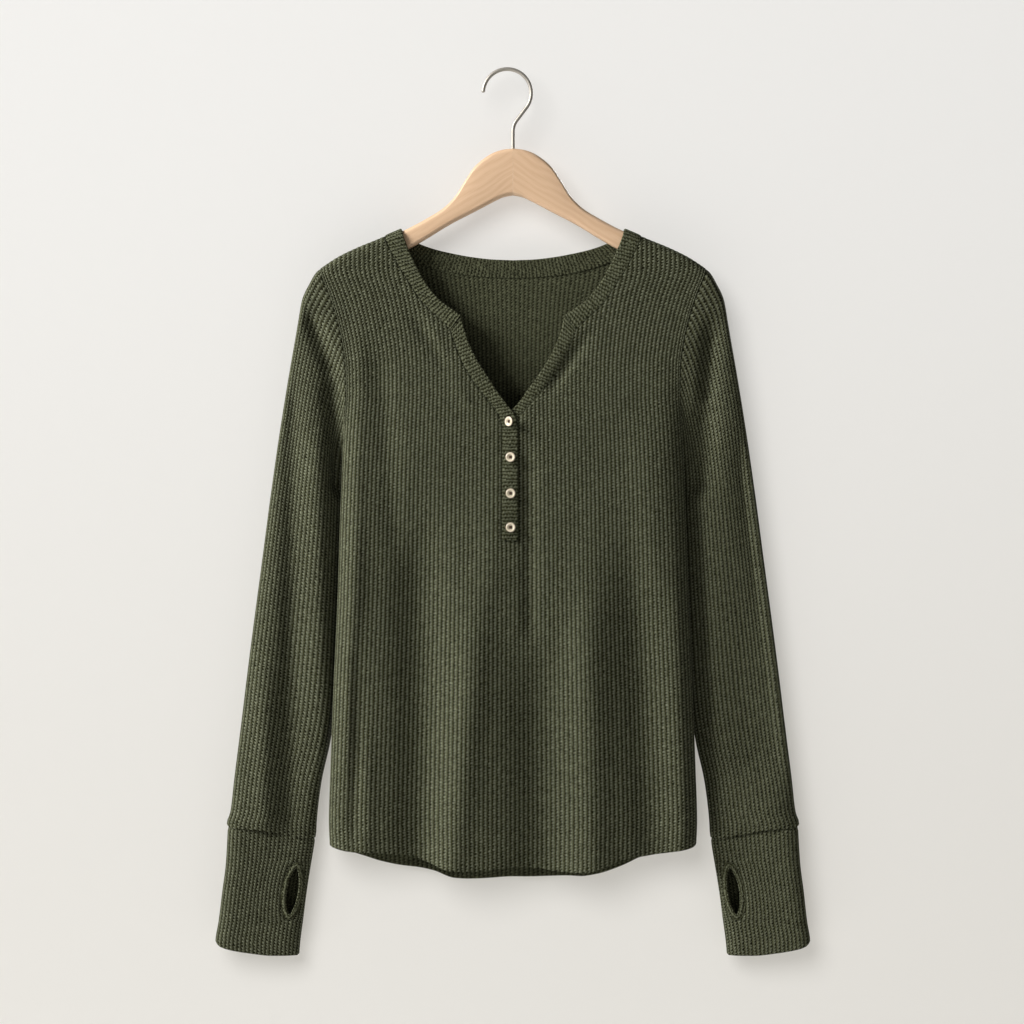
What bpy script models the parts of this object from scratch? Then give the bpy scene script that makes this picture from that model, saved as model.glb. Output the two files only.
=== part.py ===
"""Long-sleeve henley top of ribbed knit, hung on a flat wooden hanger with a wire hook.

The origin is the underside of the hook's crown, where a rail or nail holds it. +Z is up, the
front faces -Y, and left and right are as seen from the front, so left is -X. Every table below is
in millimetres; the top hangs about a centre plane at x = CENTRE_X, and its tables count x from
there. Meshes are made in metres.
"""

from collections import namedtuple

import bmesh
import bpy
import numpy as np

MM = 0.001

# ---------------------------------------------------------------- driving sizes (mm)

CENTRE_X = 5.8             # the garment's centre plane, right of the hook's crown
CLOTH = 1.6                # wall of the ribbed knit
BAND = 2.2                 # wall of the neckband and thumb bands
STRIP = 1.8                # wall of one placket strip
BAND_PROUD = 0.3           # how far a band stands in front of the panel beside it
SEAM = 0.3                 # gap between two pieces at a seam

SHOULDER_WRAP = 9.0        # how far the cloth falls while it turns over the hanger
SIDE_TURN = 40.0           # width over which the body swells from its side fold
SIDE_TURN_HIGH = 24.0      # the same beside the armhole
SLEEVE_TURN = 32.0         # the same on a sleeve
CUFF_TURN = 16.0           # the same on a cuff

SHOULDER_TIP_X = 193.0     # where the armhole seam meets the shoulder
SHOULDER_TIP_Z = -197.5
ARMPIT_Z = -375.0
CAP_END_Z = -430.0         # level at which the sleeve's rings have become horizontal
NECK_SIDE_X = 128.5        # neckband seam on the shoulder
NECK_EDGE_X = 111.5        # neckband's free edge on the shoulder
PLACKET_FOOT_Z = -469.8    # seam across the foot of the placket
FORWARD, BACKWARD = -1.0, 1.0

Height = namedtuple("Height", "z value")
Across = namedtuple("Across", "x z")

# Half width of the body: the armhole seam above the armpit, the side fold below it.
BODY_WIDTH = [
    Height(-197.5, 193.0),
    Height(-205.0, 191.0),
    Height(-214.0, 187.3),
    Height(-222.0, 183.8),
    Height(-236.0, 179.0),
    Height(-250.0, 174.9),
    Height(-275.0, 169.5),
    Height(-296.0, 167.0),
    Height(-320.0, 166.6),
    Height(-350.0, 168.5),
    Height(-390.0, 171.0),
    Height(-450.0, 173.5),
    Height(-530.0, 176.0),
    Height(-620.0, 180.0),
    Height(-700.0, 183.0),
    Height(-750.0, 184.5),
    Height(-775.0, 183.5),
]

# Half the depth between front and back, away from the folds at the sides.
BODY_DEPTH = [
    Height(-150.0, 9.4),
    Height(-215.0, 9.6),
    Height(-260.0, 11.2),
    Height(-350.0, 14.5),
    Height(-480.0, 17.0),
    Height(-620.0, 19.0),
    Height(-810.0, 21.5),
]

# Half the depth of the armhole, which closes at the armpit.
ARMHOLE_DEPTH = [
    Height(-197.5, 8.3),
    Height(-230.0, 10.2),
    Height(-280.0, 11.0),
    Height(-315.0, 10.2),
    Height(-345.0, 7.6),
    Height(-362.0, 4.8),
    Height(-371.0, 2.2),
    Height(-375.0, 0.0),
]

# The ridge that the cloth makes over the hanger's arm.
SHOULDER_LINE = [
    Across(0.0, -108.0),
    Across(90.0, -149.0),
    Across(112.0, -158.0),
    Across(138.0, -169.0),
    Across(156.5, -176.6),
    Across(175.0, -185.7),
    Across(185.5, -192.3),
    Across(193.0, -197.5),
]

# Hems, from the left side to the right.
FRONT_HEM = [
    Across(-184.2, -770.5),
    Across(-178.0, -775.0),
    Across(-165.0, -778.0),
    Across(-155.0, -780.0),
    Across(-140.0, -779.8),
    Across(-118.0, -781.8),
    Across(-101.0, -783.4),
    Across(-87.0, -789.0),
    Across(-64.0, -797.0),
    Across(-45.0, -797.8),
    Across(7.0, -794.0),
    Across(49.0, -799.0),
    Across(66.0, -799.6),
    Across(91.0, -794.5),
    Across(105.0, -788.0),
    Across(117.0, -784.5),
    Across(130.0, -785.0),
    Across(142.0, -782.8),
    Across(161.0, -779.0),
    Across(178.0, -775.2),
    Across(184.2, -770.5),
]
BACK_HEM = [
    Across(-184.2, -770.5),
    Across(-178.0, -775.0),
    Across(-161.0, -779.3),
    Across(-148.0, -784.0),
    Across(-134.0, -788.5),
    Across(-115.0, -794.0),
    Across(-97.0, -797.5),
    Across(-80.0, -801.5),
    Across(-59.0, -809.5),
    Across(-45.0, -810.6),
    Across(7.0, -807.0),
    Across(49.0, -807.2),
    Across(68.0, -808.0),
    Across(85.0, -805.0),
    Across(105.0, -797.0),
    Across(123.0, -788.3),
    Across(142.0, -783.2),
    Across(161.0, -779.0),
    Across(178.0, -775.2),
    Across(184.2, -770.5),
]

# The sleeve below its cap: its two folded edges, how far back each lies, and half its depth.
Sleeve = namedtuple("Sleeve", "z outer_x inner_x outer_y inner_y depth")
SLEEVE = [
    Sleeve(-430.0, 243.3, 168.5, 2.0, 13.5, 15.0),
    Sleeve(-489.0, 251.0, 170.5, 2.0, 13.5, 15.0),
    Sleeve(-549.0, 259.0, 173.0, 2.0, 13.5, 14.5),
    Sleeve(-609.0, 266.7, 175.8, 2.0, 13.5, 14.0),
    Sleeve(-645.0, 271.0, 179.2, 1.5, 13.0, 13.5),
    Sleeve(-673.0, 274.5, 183.6, 1.5, 12.0, 13.0),
    Sleeve(-709.0, 279.0, 191.6, 1.0, 10.0, 12.5),
    Sleeve(-735.0, 281.8, 195.2, 0.5, 9.0, 12.5),
    Sleeve(-745.0, 283.6, 196.2, 0.5, 9.0, 12.5),
    Sleeve(-752.0, 287.2, 196.8, 0.5, 9.0, 12.5),
    Sleeve(-768.0, 287.6, 197.4, 0.5, 9.0, 12.5),
]

# The sleeve's outer edge over its cap, from the shoulder tip down.
CAP_OUTLINE = [
    Height(-197.5, 193.0),
    Height(-201.3, 196.6),
    Height(-205.0, 199.3),
    Height(-214.0, 204.2),
    Height(-222.0, 208.4),
    Height(-229.0, 211.0),
    Height(-239.0, 213.0),
    Height(-249.0, 214.6),
    Height(-269.0, 218.0),
    Height(-309.0, 225.0),
    Height(-369.0, 234.6),
    Height(-430.0, 243.3),
]

CAP_LEAN_TOP = 42.0        # degrees a rib leans outward where it leaves the seam, at the shoulder
CAP_LEAN_FOOT = 16.0       # and at the armpit
CAP_BACKWARD = 0.35        # how strongly the underarm turns behind the body
CAP_EDGE_SHARE = 0.22      # how far round from the outer fold its outline is set

# The cuff: its two folded edges and half its depth.
Cuff = namedtuple("Cuff", "z outer_x inner_x outer_y inner_y depth")
CUFF = [
    Cuff(-752.0, 285.0, 196.0, 0.5, 9.0, 10.5),
    Cuff(-773.0, 286.0, 199.0, 0.5, 9.0, 9.5),
    Cuff(-794.0, 287.5, 202.5, 0.5, 9.0, 9.0),
    Cuff(-820.0, 291.0, 206.5, 0.5, 9.0, 9.0),
    Cuff(-850.0, 294.5, 210.5, 0.5, 9.0, 9.0),
    Cuff(-872.0, 297.6, 213.4, 0.5, 9.0, 9.0),
    Cuff(-887.0, 297.6, 214.6, 0.5, 9.0, 9.0),
]
CUFF_SEAM = [
    Across(196.0, -767.0),
    Across(200.3, -767.4),
    Across(208.7, -767.8),
    Across(218.5, -765.2),
    Across(234.0, -762.0),
    Across(250.0, -759.0),
    Across(261.0, -757.8),
    Across(277.0, -757.2),
    Across(284.0, -755.5),
    Across(288.0, -751.5),
]
CUFF_END = [
    Across(212.5, -881.0),
    Across(215.5, -884.8),
    Across(240.3, -884.6),
    Across(264.5, -881.8),
    Across(285.0, -877.8),
    Across(294.0, -874.5),
    Across(298.0, -870.0),
]

# The thumbhole is a slit opened to a lens, whose two ends are on one rib; the band lies round it.
THUMB_TOP = Across(216.7, -796.8)
THUMB_FOOT = Across(224.5, -843.5)
THUMB_WIDTH = 12.0
THUMB_BAND = 5.5
THUMB_REACH = 42.0         # how far from the slit its ribs are pushed aside
THUMB_ROWS = 6
CUFF_GAP = 0.6             # seam gap, on the slant, between sleeve and cuff

# Neckband on the garment's left half: seam to the panels and free edge, from the front corner to
# the shoulder, then from the shoulder to the middle of the back.
Band = namedtuple("Band", "seam_x seam_z edge_x edge_z")
NECK_FRONT = [
    Band(63.0, -259.0, 52.3, -244.3),
    Band(74.0, -247.5, 63.0, -237.0),
    Band(83.5, -239.0, 72.5, -229.8),
    Band(93.0, -228.5, 81.3, -220.3),
    Band(102.3, -214.5, 89.5, -208.5),
    Band(112.0, -199.0, 97.0, -194.5),
    Band(119.7, -185.0, 103.3, -181.0),
    Band(125.7, -172.5, 108.8, -167.0),
]
NECK_BACK = [
    Band(121.5, -174.0, 107.0, -164.6),
    Band(105.5, -183.8, 93.5, -172.2),
    Band(86.0, -191.8, 77.0, -178.0),
    Band(66.0, -197.2, 60.0, -182.0),
    Band(44.0, -200.8, 40.0, -185.6),
    Band(22.0, -202.9, 20.0, -187.8),
    Band(0.0, -203.4, 0.0, -188.6),
]

# Placket strips beside the open V: seam to the panel and free edge, from the neckband down, and
# how far the strip's face stands in front of the panel's. The left strip closes over the right.
Strip = namedtuple("Strip", "seam_x seam_z edge_x edge_z proud")
PLACKET_TOP = [
    Strip(-63.0, -259.4, -52.1, -244.8, 0.3),
    Strip(-60.6, -266.5, -48.8, -257.6, 0.3),
    Strip(-55.9, -279.3, -42.9, -274.6, 0.3),
    Strip(-49.0, -295.0, -35.4, -289.6, 0.3),
    Strip(-39.8, -310.0, -26.8, -303.2, 0.3),
    Strip(-28.6, -325.0, -15.6, -320.6, 0.4),
    Strip(-19.0, -337.0, -5.4, -334.6, 1.0),
    Strip(-12.8, -347.6, 2.4, -345.0, 1.0),
    Strip(-10.9, -357.0, 4.6, -355.5, 1.0),
]
PLACKET_UNDER = [
    Strip(63.0, -259.4, 51.0, -245.4, 0.3),
    Strip(60.3, -266.5, 48.6, -257.8, 0.3),
    Strip(55.0, -280.0, 42.4, -275.0, 0.3),
    Strip(48.0, -294.5, 34.6, -290.2, 0.3),
    Strip(38.8, -308.5, 26.2, -303.4, 0.3),
    Strip(27.0, -323.2, 15.2, -318.4, -0.5),
    Strip(15.5, -335.6, 5.2, -332.4, -1.25),
    Strip(7.6, -345.5, -6.2, -344.5, -1.25),
    Strip(5.3, -352.0, -9.6, -351.0, -1.25),
]
PLACKET_CLOSED_TOP = 1.0   # how far the closed top strip stands in front of the panel
PLACKET_CLOSED_UNDER = -1.25

# Soft folds: a ridge (height > 0) or a valley along a line from its top to its foot. The ends
# fade out over `fade`, except where the foot runs off the cloth.
Fold = namedtuple("Fold", "top_x top_z foot_x foot_z spread height fade")
FRONT_FOLDS = [
    Fold(-123.0, -380.0, -113.0, -830.0, 20.0, -7.5, 120.0),
    Fold(-43.0, -500.0, -60.0, -840.0, 17.0, 8.0, 150.0),
    Fold(12.0, -470.0, 9.0, -840.0, 19.0, -5.5, 110.0),
    Fold(39.0, -480.0, 64.0, -840.0, 15.0, 7.0, 140.0),
    Fold(99.0, -490.0, 121.0, -840.0, 17.0, -7.5, 140.0),
    Fold(150.0, -560.0, 158.0, -840.0, 14.0, 3.5, 120.0),
    Fold(-153.0, -590.0, -165.0, -830.0, 7.0, -2.5, 80.0),
    Fold(-113.0, -225.0, -62.0, -300.0, 9.0, -2.4, 45.0),
    Fold(87.0, -245.0, 38.0, -318.0, 8.0, -3.2, 45.0),
    Fold(14.0, -345.0, 16.0, -520.0, 7.0, -2.4, 60.0),
]
BACK_FOLDS = [
    Fold(-100.0, -380.0, -108.0, -840.0, 19.0, -6.0, 150.0),
    Fold(-55.0, -430.0, -42.0, -850.0, 18.0, 6.0, 150.0),
    Fold(4.0, -330.0, 14.0, -850.0, 17.0, -6.5, 150.0),
    Fold(52.0, -450.0, 62.0, -850.0, 17.0, 6.5, 150.0),
    Fold(112.0, -400.0, 104.0, -840.0, 18.0, -6.0, 150.0),
    Fold(-150.0, -520.0, -146.0, -830.0, 13.0, 3.0, 120.0),
]
# Folds of a sleeve, whose x is counted from the centre plane on the garment's left half.
LEFT_SLEEVE_FOLDS = [
    Fold(-196.0, -262.0, -176.0, -372.0, 8.0, -4.5, 35.0),
    Fold(-212.0, -300.0, -212.0, -700.0, 12.0, 3.0, 90.0),
    Fold(-231.0, -480.0, -240.0, -745.0, 10.0, -3.0, 80.0),
]
RIGHT_SLEEVE_FOLDS = [
    Fold(196.0, -262.0, 173.0, -372.0, 8.0, -4.5, 35.0),
    Fold(184.0, -360.0, 190.0, -660.0, 9.0, -2.5, 80.0),
    Fold(216.0, -320.0, 228.0, -690.0, 12.0, 2.5, 90.0),
]

# Hanger: two flat arms glued end to end at the centre plane. Its outline is counted from there.
Arm = namedtuple("Arm", "x top_z foot_z half_thick")
HANGER = [
    Arm(0.0, -77.6, -124.5, 5.6),
    Arm(9.0, -78.6, -126.2, 5.6),
    Arm(18.0, -81.2, -130.2, 5.6),
    Arm(27.5, -86.6, -135.2, 5.6),
    Arm(38.5, -96.0, -141.0, 5.6),
    Arm(47.5, -109.0, -145.6, 5.6),
    Arm(58.0, -125.6, -151.0, 5.6),
    Arm(70.5, -138.0, -158.2, 5.6),
    Arm(84.0, -146.4, -166.6, 5.6),
    Arm(106.0, -158.2, -179.0, 5.6),
    Arm(130.0, -168.4, -189.0, 5.6),
    Arm(155.0, -178.9, -198.4, 5.3),
    Arm(174.0, -188.6, -205.4, 4.6),
    Arm(183.0, -195.2, -207.4, 3.8),
    Arm(187.0, -199.6, -206.0, 3.2),
]
HANGER_EDGE = 4.5          # round along the arms' long edges

# Hook: a wire whose straight stem is let into the hanger's top. Its crown is centred over the
# origin; a straight neck leaves the crown as a tangent and bends down into the stem.
WIRE = 3.8
HOOK_STEM_FOOT_Z = -97.0
HOOK_BORE = 4.7
HOOK_RADIUS = 24.0         # of the crown, to the wire's axis
HOOK_NECK_ANGLE = -37.0    # degrees above +X, where the neck leaves the crown
HOOK_TIP_ANGLE = 175.0     # degrees, at the wire's free end
HOOK_NECK_BEND = 6.0       # length of wire in the bend at the neck's foot, each way

# Buttons on the placket, from the top: place, width across and turn about the vertical.
Button = namedtuple("Button", "x z turn")
BUTTONS = [
    Button(-4.0, -350.9, 38.0),
    Button(-2.5, -386.3, 8.0),
    Button(-2.3, -422.4, 0.0),
    Button(-2.3, -456.2, 0.0),
]
BUTTON_RADIUS = 5.1
BUTTON_THICK = 2.2
BUTTON_WELL_RADIUS = 3.0
BUTTON_WELL_DEPTH = 0.7
BUTTON_HOLE_RADIUS = 0.6
BUTTON_HOLE_OUT = 1.4
BUTTON_SIDES = 26
BUTTON_SEAT = 0.4          # gap between a button's back and the placket

# How finely the cloth is faceted. Ribs are named by where they meet the neckline or shoulder, and
# rows by their distance along the cloth.
NECK_RIBS = (21.0, 32.0, 44.0, 55.0, 63.0, 78.0, 93.0, 106.0, 118.0, 126.0, 127.6, 128.3, 128.5)
FRONT_EXTRA_RIB = 14.0
SHOULDER_RIBS = (144.0, 160.0, 175.0, 187.0, 193.0)
WRAP_STEPS = (0.0, 4.0, 9.0, 15.0)
CHEST_ROWS = 5
PLACKET_ROWS = 2
SKIRT_ROWS = 6
SLEEVE_SHARES = (0.0, 0.1, 0.22, 0.36, 0.5, 0.64, 0.78, 0.9, 1.0)
CAP_ROWS = 7
SLEEVE_ROWS = 8
BAND_STATIONS = (0.0, 0.5, 1.0)
EDGE_STEPS = 2

# ---------------------------------------------------------------- curves

def smooth(rows, column, at, key=None):
    """One column of a table at the places `at`, on a curve without overshoot through its rows."""
    key = key or rows[0]._fields[0]
    table = sorted((getattr(row, key), getattr(row, column)) for row in rows)
    places, values = np.array(table).T
    steps = np.diff(places)
    slopes = np.diff(values) / steps
    before, after = slopes[:-1], slopes[1:]
    same_way = before * after > 0
    together = np.where(same_way, before + after, 1.0)
    tangents = np.zeros_like(places)
    tangents[1:-1] = np.where(same_way, 2.0 * before * after / together, 0.0)
    tangents[0], tangents[-1] = slopes[0], slopes[-1]
    at = np.clip(np.asarray(at, float), places[0], places[-1])
    k = np.clip(np.searchsorted(places, at, side="right") - 1, 0, len(steps) - 1)
    t = (at - places[k]) / steps[k]
    rise = (t * (1.0 - t) ** 2 * tangents[k] - t * t * (1.0 - t) * tangents[k + 1]) * steps[k]
    return values[k] + (values[k + 1] - values[k]) * ease(t) + rise


def arch(t):
    """A quarter ellipse: 0 at t = 0, where it rises upright, to 1 at t = 1 and beyond."""
    return np.sqrt(np.maximum(1.0 - (1.0 - np.clip(t, 0.0, 1.0)) ** 2, 0.0))


def ease(t):
    """A soft step from 0 to 1."""
    t = np.clip(t, 0.0, 1.0)
    return t * t * (3.0 - 2.0 * t)


def run_along(*coordinates):
    """Length along a polyline at each of its points."""
    steps = np.sqrt(sum(np.diff(values) ** 2 for values in coordinates))
    return np.concatenate([[0.0], np.cumsum(steps)])


def fold_height(folds, x, z):
    """Sum of the soft ridges and valleys at (x, z)."""
    height = np.zeros(np.broadcast(x, z).shape)
    for fold in folds:
        length = fold.top_z - fold.foot_z
        down = (fold.top_z - z) / length
        line = fold.top_x + (fold.foot_x - fold.top_x) * np.clip(down, 0.0, 1.2)
        begin = ease(down * length / fold.fade)
        end = ease(0.6 + (1.0 - down) * length / (0.6 * fold.fade))
        height = height + fold.height * begin * end * np.exp(-((x - line) / fold.spread) ** 2)
    return height


# ---------------------------------------------------------------- the body's form

def body_width(z):
    return smooth(BODY_WIDTH, "value", z)


def shoulder_z(x):
    return smooth(SHOULDER_LINE, "z", np.abs(x))


def plain_depth(x, z):
    """The body's half depth, without its folds or its turn over the shoulder."""
    full = smooth(BODY_DEPTH, "value", z)
    edge = np.where(np.asarray(z) > ARMPIT_Z, smooth(ARMHOLE_DEPTH, "value", z), 0.0)
    turn = SIDE_TURN_HIGH + (SIDE_TURN - SIDE_TURN_HIGH) * ease((-250.0 - z) / 120.0)
    inward = np.clip((body_width(z) - np.abs(x)) / turn, 0.0, 1.0)
    folded = ease((-335.0 - z) / 40.0)
    return edge + (full - edge) * (folded * arch(inward) + (1.0 - folded) * (2.0 - inward) * inward)


def body_depth(x, z, side):
    """How far the face of the front or back lies from the plane of the hanger."""
    over = arch((shoulder_z(x) - z) / SHOULDER_WRAP)
    folds = fold_height(FRONT_FOLDS if side == FORWARD else BACK_FOLDS, x, z)
    return (plain_depth(x, z) + folds * ease((body_width(z) - np.abs(x)) / 26.0)) * over


def body_points(x, z, side, proud=0.0):
    """Points on a panel's face, or `proud` of it along its normal."""
    small = 0.02
    depth = body_depth(x, z, side)
    inward = np.where(np.asarray(x) > 0.0, -small, small)
    slope_x = (body_depth(x + inward, z, side) - depth) / inward
    slope_z = (body_depth(x, z - small, side) - depth) / -small
    normals = np.stack([-slope_x, np.full_like(slope_x, side), -slope_z], axis=-1)
    normals /= np.linalg.norm(normals, axis=-1, keepdims=True)
    faces = np.stack([x + 0.0 * depth, side * (depth + 0.5 * SEAM), z + 0.0 * depth], axis=-1)
    points = faces + normals * proud
    points[..., 1] = side * np.maximum(side * points[..., 1], 0.5 * SEAM + 0.02)
    return points


def rib_share(x, z):
    """Names a rib of the body by how far out along the cloth (x, z) is: 0 middle, 1 side."""
    return np.sign(x) * share_runs(z, np.abs(x))


def share_runs(z, x=None, share=None):
    """Share of the cloth's way from middle to side at x, or x at a share, on the level z."""
    half = float(body_width(z))
    stations = half * (1.0 - np.linspace(1.0, 0.0, 160) ** 2)
    run = run_along(stations, plain_depth(stations, np.full_like(stations, z)))
    if share is None:
        return np.interp(x, stations, run / run[-1])
    return np.interp(share, run / run[-1], stations)


def rib_x(share, z):
    """x of a rib of the body at each height."""
    return np.array([share_runs(at, share=abs(share)) for at in np.atleast_1d(z)]) * np.sign(share)


def neckline_z(x, side):
    """Height of a panel's top at x: its neckline, or the shoulder line beyond the neckband."""
    rows = NECK_FRONT if side == FORWARD else NECK_BACK
    seam = [Across(row.seam_x, row.seam_z) for row in rows]
    seam.append(Across(NECK_SIDE_X, float(shoulder_z(NECK_SIDE_X))))
    if side == FORWARD:
        strip = PLACKET_TOP if x < 0.0 else PLACKET_UNDER
        seam += [Across(abs(row.seam_x), row.seam_z) for row in strip[1:]]
    beyond = abs(x) >= NECK_SIDE_X
    return float(shoulder_z(x)) if beyond else float(smooth(seam, "z", abs(x)))


def hem_z(x, side):
    return smooth(FRONT_HEM if side == FORWARD else BACK_HEM, "z", x)


def rib_heights(share, side, levels):
    """Heights down a rib: over the shoulder in the wrap's steps, evenly to the first level, then
    evenly between levels. Each level is (height, rows)."""
    top, foot = levels[0][0], levels[-1][0]
    z = top + (foot - top) * np.linspace(0.0, 1.0, 400) ** 2
    x = rib_x(share, z)
    run = run_along(x, body_depth(x, z, side), z)
    first = np.interp(-levels[1][0], -z, run)
    wrap = min(WRAP_STEPS[-1], 0.4 * first)
    places = [step * wrap / WRAP_STEPS[-1] for step in WRAP_STEPS]
    places += list(np.linspace(wrap, first, levels[1][1] + 1)[1:])
    for (upper, _), (lower, rows) in zip(levels[1:], levels[2:]):
        ends = np.interp([-upper, -lower], -z, run)
        places += list(np.linspace(ends[0], ends[1], rows + 1)[1:])
    return np.interp(places, run, z)


def rib_foot(share, side):
    """Height at which a rib meets the hem."""
    z = -790.0
    for _ in range(30):
        z = float(hem_z(rib_x(share, z)[0], side))
    return z


def panel_rib(share, side, top):
    """x and z down one rib of a panel, from the height `top` to the hem."""
    levels = [
        (top, 0),
        (ARMPIT_Z, CHEST_ROWS),
        (PLACKET_FOOT_Z, PLACKET_ROWS),
        (rib_foot(share, side), SKIRT_ROWS),
    ]
    z = rib_heights(share, side, levels)
    return rib_x(share, z), z


# ---------------------------------------------------------------- shells

def material(name, colour, roughness, metallic=0.0):
    made = bpy.data.materials.new(name)
    made.use_nodes = True
    shader = made.node_tree.nodes["Principled BSDF"]
    shader.inputs["Base Color"].default_value = (*colour, 1.0)
    shader.inputs["Roughness"].default_value = roughness
    shader.inputs["Metallic"].default_value = metallic
    return made


def solid(name, points, faces, finish):
    """One closed solid from points in millimetres about the centre plane."""
    mesh = bpy.data.meshes.new(name)
    places = (np.asarray(points) + [CENTRE_X, 0.0, 0.0]) * MM
    mesh.from_pydata(places.tolist(), [], faces)
    shape = bmesh.new()
    shape.from_mesh(mesh)
    bmesh.ops.recalc_face_normals(shape, faces=shape.faces)
    bmesh.ops.triangulate(shape, faces=shape.faces, quad_method="SHORT_EDGE")
    shape.to_mesh(mesh)
    shape.free()
    mesh.shade_smooth()
    mesh.set_sharp_from_angle(angle=np.radians(50.0))
    mesh.materials.append(finish)
    made = bpy.data.objects.new(name, mesh)
    bpy.context.collection.objects.link(made)
    return made


def wall(name, outside, inside, cells, finish):
    """A cloth wall between two sheets of points that share `cells`, closed round every edge."""
    count = len(outside)
    faces = [tuple(cell) for cell in cells]
    faces += [tuple(count + k for k in reversed(cell)) for cell in cells]
    rim = set()
    for cell in cells:
        for start, end in zip(cell, (*cell[1:], cell[0])):
            if (end, start) in rim:
                rim.remove((end, start))
            else:
                rim.add((start, end))
    faces += [(end, start, count + start, count + end) for start, end in sorted(rim)]
    return solid(name, np.concatenate([outside, inside]), faces, finish)


def grid_cells(rows, columns, closed=False, skip=None):
    """Quads of a grid whose points are numbered row by row."""
    turns = columns if closed else columns - 1
    cells = []
    for r in range(rows - 1):
        for c in range(turns):
            if skip and skip(r, c):
                continue
            d = (c + 1) % columns
            upper, lower = r * columns, (r + 1) * columns
            cells.append((upper + c, lower + c, lower + d, upper + d))
    return cells


# ---------------------------------------------------------------- front and back

def panel_ribs(side):
    """(share, top) of each rib of a panel, from the left side to the right."""
    near = (FRONT_EXTRA_RIB, *NECK_RIBS) if side == FORWARD else NECK_RIBS
    ribs = []
    for sign in (-1.0, 1.0):
        for x in (*near, *SHOULDER_RIBS):
            top = neckline_z(sign * x, side)
            ribs.append((float(rib_share(sign * x, top)), top))
    if side == FORWARD:
        for row in (PLACKET_TOP[-1], PLACKET_UNDER[-1]):
            ribs.append((float(rib_share(row.seam_x, row.seam_z)), row.seam_z))
    else:
        ribs.append((0.0, neckline_z(0.0, side)))
    return sorted(ribs)


def build_panel(name, side, finish):
    """The front or back: its ribs run from the neckline, shoulder or armhole to the hem."""
    ribs = panel_ribs(side)
    columns = [panel_rib(share, side, top) for share, top in ribs]
    x = np.array([column[0] for column in columns]).T
    z = np.array([column[1] for column in columns]).T
    rows, count = x.shape
    closed_rows = len(WRAP_STEPS) - 1 + CHEST_ROWS + PLACKET_ROWS
    slot = [k for k, (share, _) in enumerate(ribs) if share < 0.0][-1]

    def in_slot(row, rib):
        return side == FORWARD and rib == slot and row < closed_rows

    outside = body_points(x, z, side).reshape(-1, 3)
    inside = body_points(x, z, side, -CLOTH).reshape(-1, 3)
    cells = grid_cells(rows, count, skip=in_slot)
    used = sorted({k for cell in cells for k in cell})
    number = {k: n for n, k in enumerate(used)}
    cells = [tuple(number[k] for k in cell) for cell in cells]
    return wall(name, outside[used], inside[used], cells, finish)


def armhole_rows(side):
    """x and z of a panel's armhole edge, from the shoulder tip to the armpit."""
    x, z = panel_rib(1.0, side, SHOULDER_TIP_Z)
    count = len(WRAP_STEPS) + CHEST_ROWS
    return x[:count], z[:count]


# ---------------------------------------------------------------- sleeves and cuffs
# A point round a sleeve or cuff is named by its way: 0 at the outer fold, 1 at the inner fold
# after the front half, 2 at the outer fold again after the back half. Everything here is made on
# the right and mirrored for the left.

def tube_loop(table, turn, z):
    """Closed section of a flattened tube at one height: x, y, length run, and the front's length."""
    columns = table[0]._fields[1:]
    outer_x, inner_x, outer_y, inner_y, depth = (float(smooth(table, name, z)) for name in columns)
    t = 0.5 - 0.5 * np.cos(np.linspace(0.0, np.pi, 200))
    inward = np.minimum(t, 1.0 - t) * (outer_x - inner_x)
    x = outer_x + (inner_x - outer_x) * t
    chord = outer_y + (inner_y - outer_y) * t
    swell = depth * arch(inward / turn)
    x = np.concatenate([x, x[-2::-1]])
    y = np.concatenate([chord - swell, (chord + swell)[-2::-1]])
    run = run_along(x, y)
    return x, y, run, run[len(t) - 1]


def tube_point(table, turn, way, z, shift=0.0):
    """Point of a tube at its way and height, `shift` mm further round."""
    x, y, run, front = tube_loop(table, turn, z)
    place = way * front if way <= 1.0 else front + (way - 1.0) * (run[-1] - front)
    place = (place + shift) % run[-1]
    return np.interp(place, run, x), np.interp(place, run, y), z


def slanted_point(table, turn, way, upper, lower, down):
    """Point at a share of the way down between two slanting seams, each a height for every x."""
    z = 0.5 * (table[0].z + table[-1].z)
    for _ in range(12):
        x, y, _ = tube_point(table, turn, way, z)
        z = upper(x) + (lower(x) - upper(x)) * down
    return x, y, float(z)


def cuff_seam_z(x):
    return float(smooth(CUFF_SEAM, "z", x))


def cuff_end_z(x):
    return float(smooth(CUFF_END, "z", x))


def armhole_point(way):
    """Point of the armhole seam, front down from the shoulder tip and back up again."""
    side = FORWARD if way <= 1.0 else BACKWARD
    share = way if way <= 1.0 else 2.0 - way
    t = 0.5 - 0.5 * np.cos(np.linspace(0.0, np.pi, 240))
    z = SHOULDER_TIP_Z + (ARMPIT_Z - SHOULDER_TIP_Z) * t
    x = body_width(z)
    y = side * body_depth(x, z, side)
    run = run_along(x, y, z)
    place = share * run[-1]
    return np.array([np.interp(place, run, values) for values in (x, y, z)])


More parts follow.
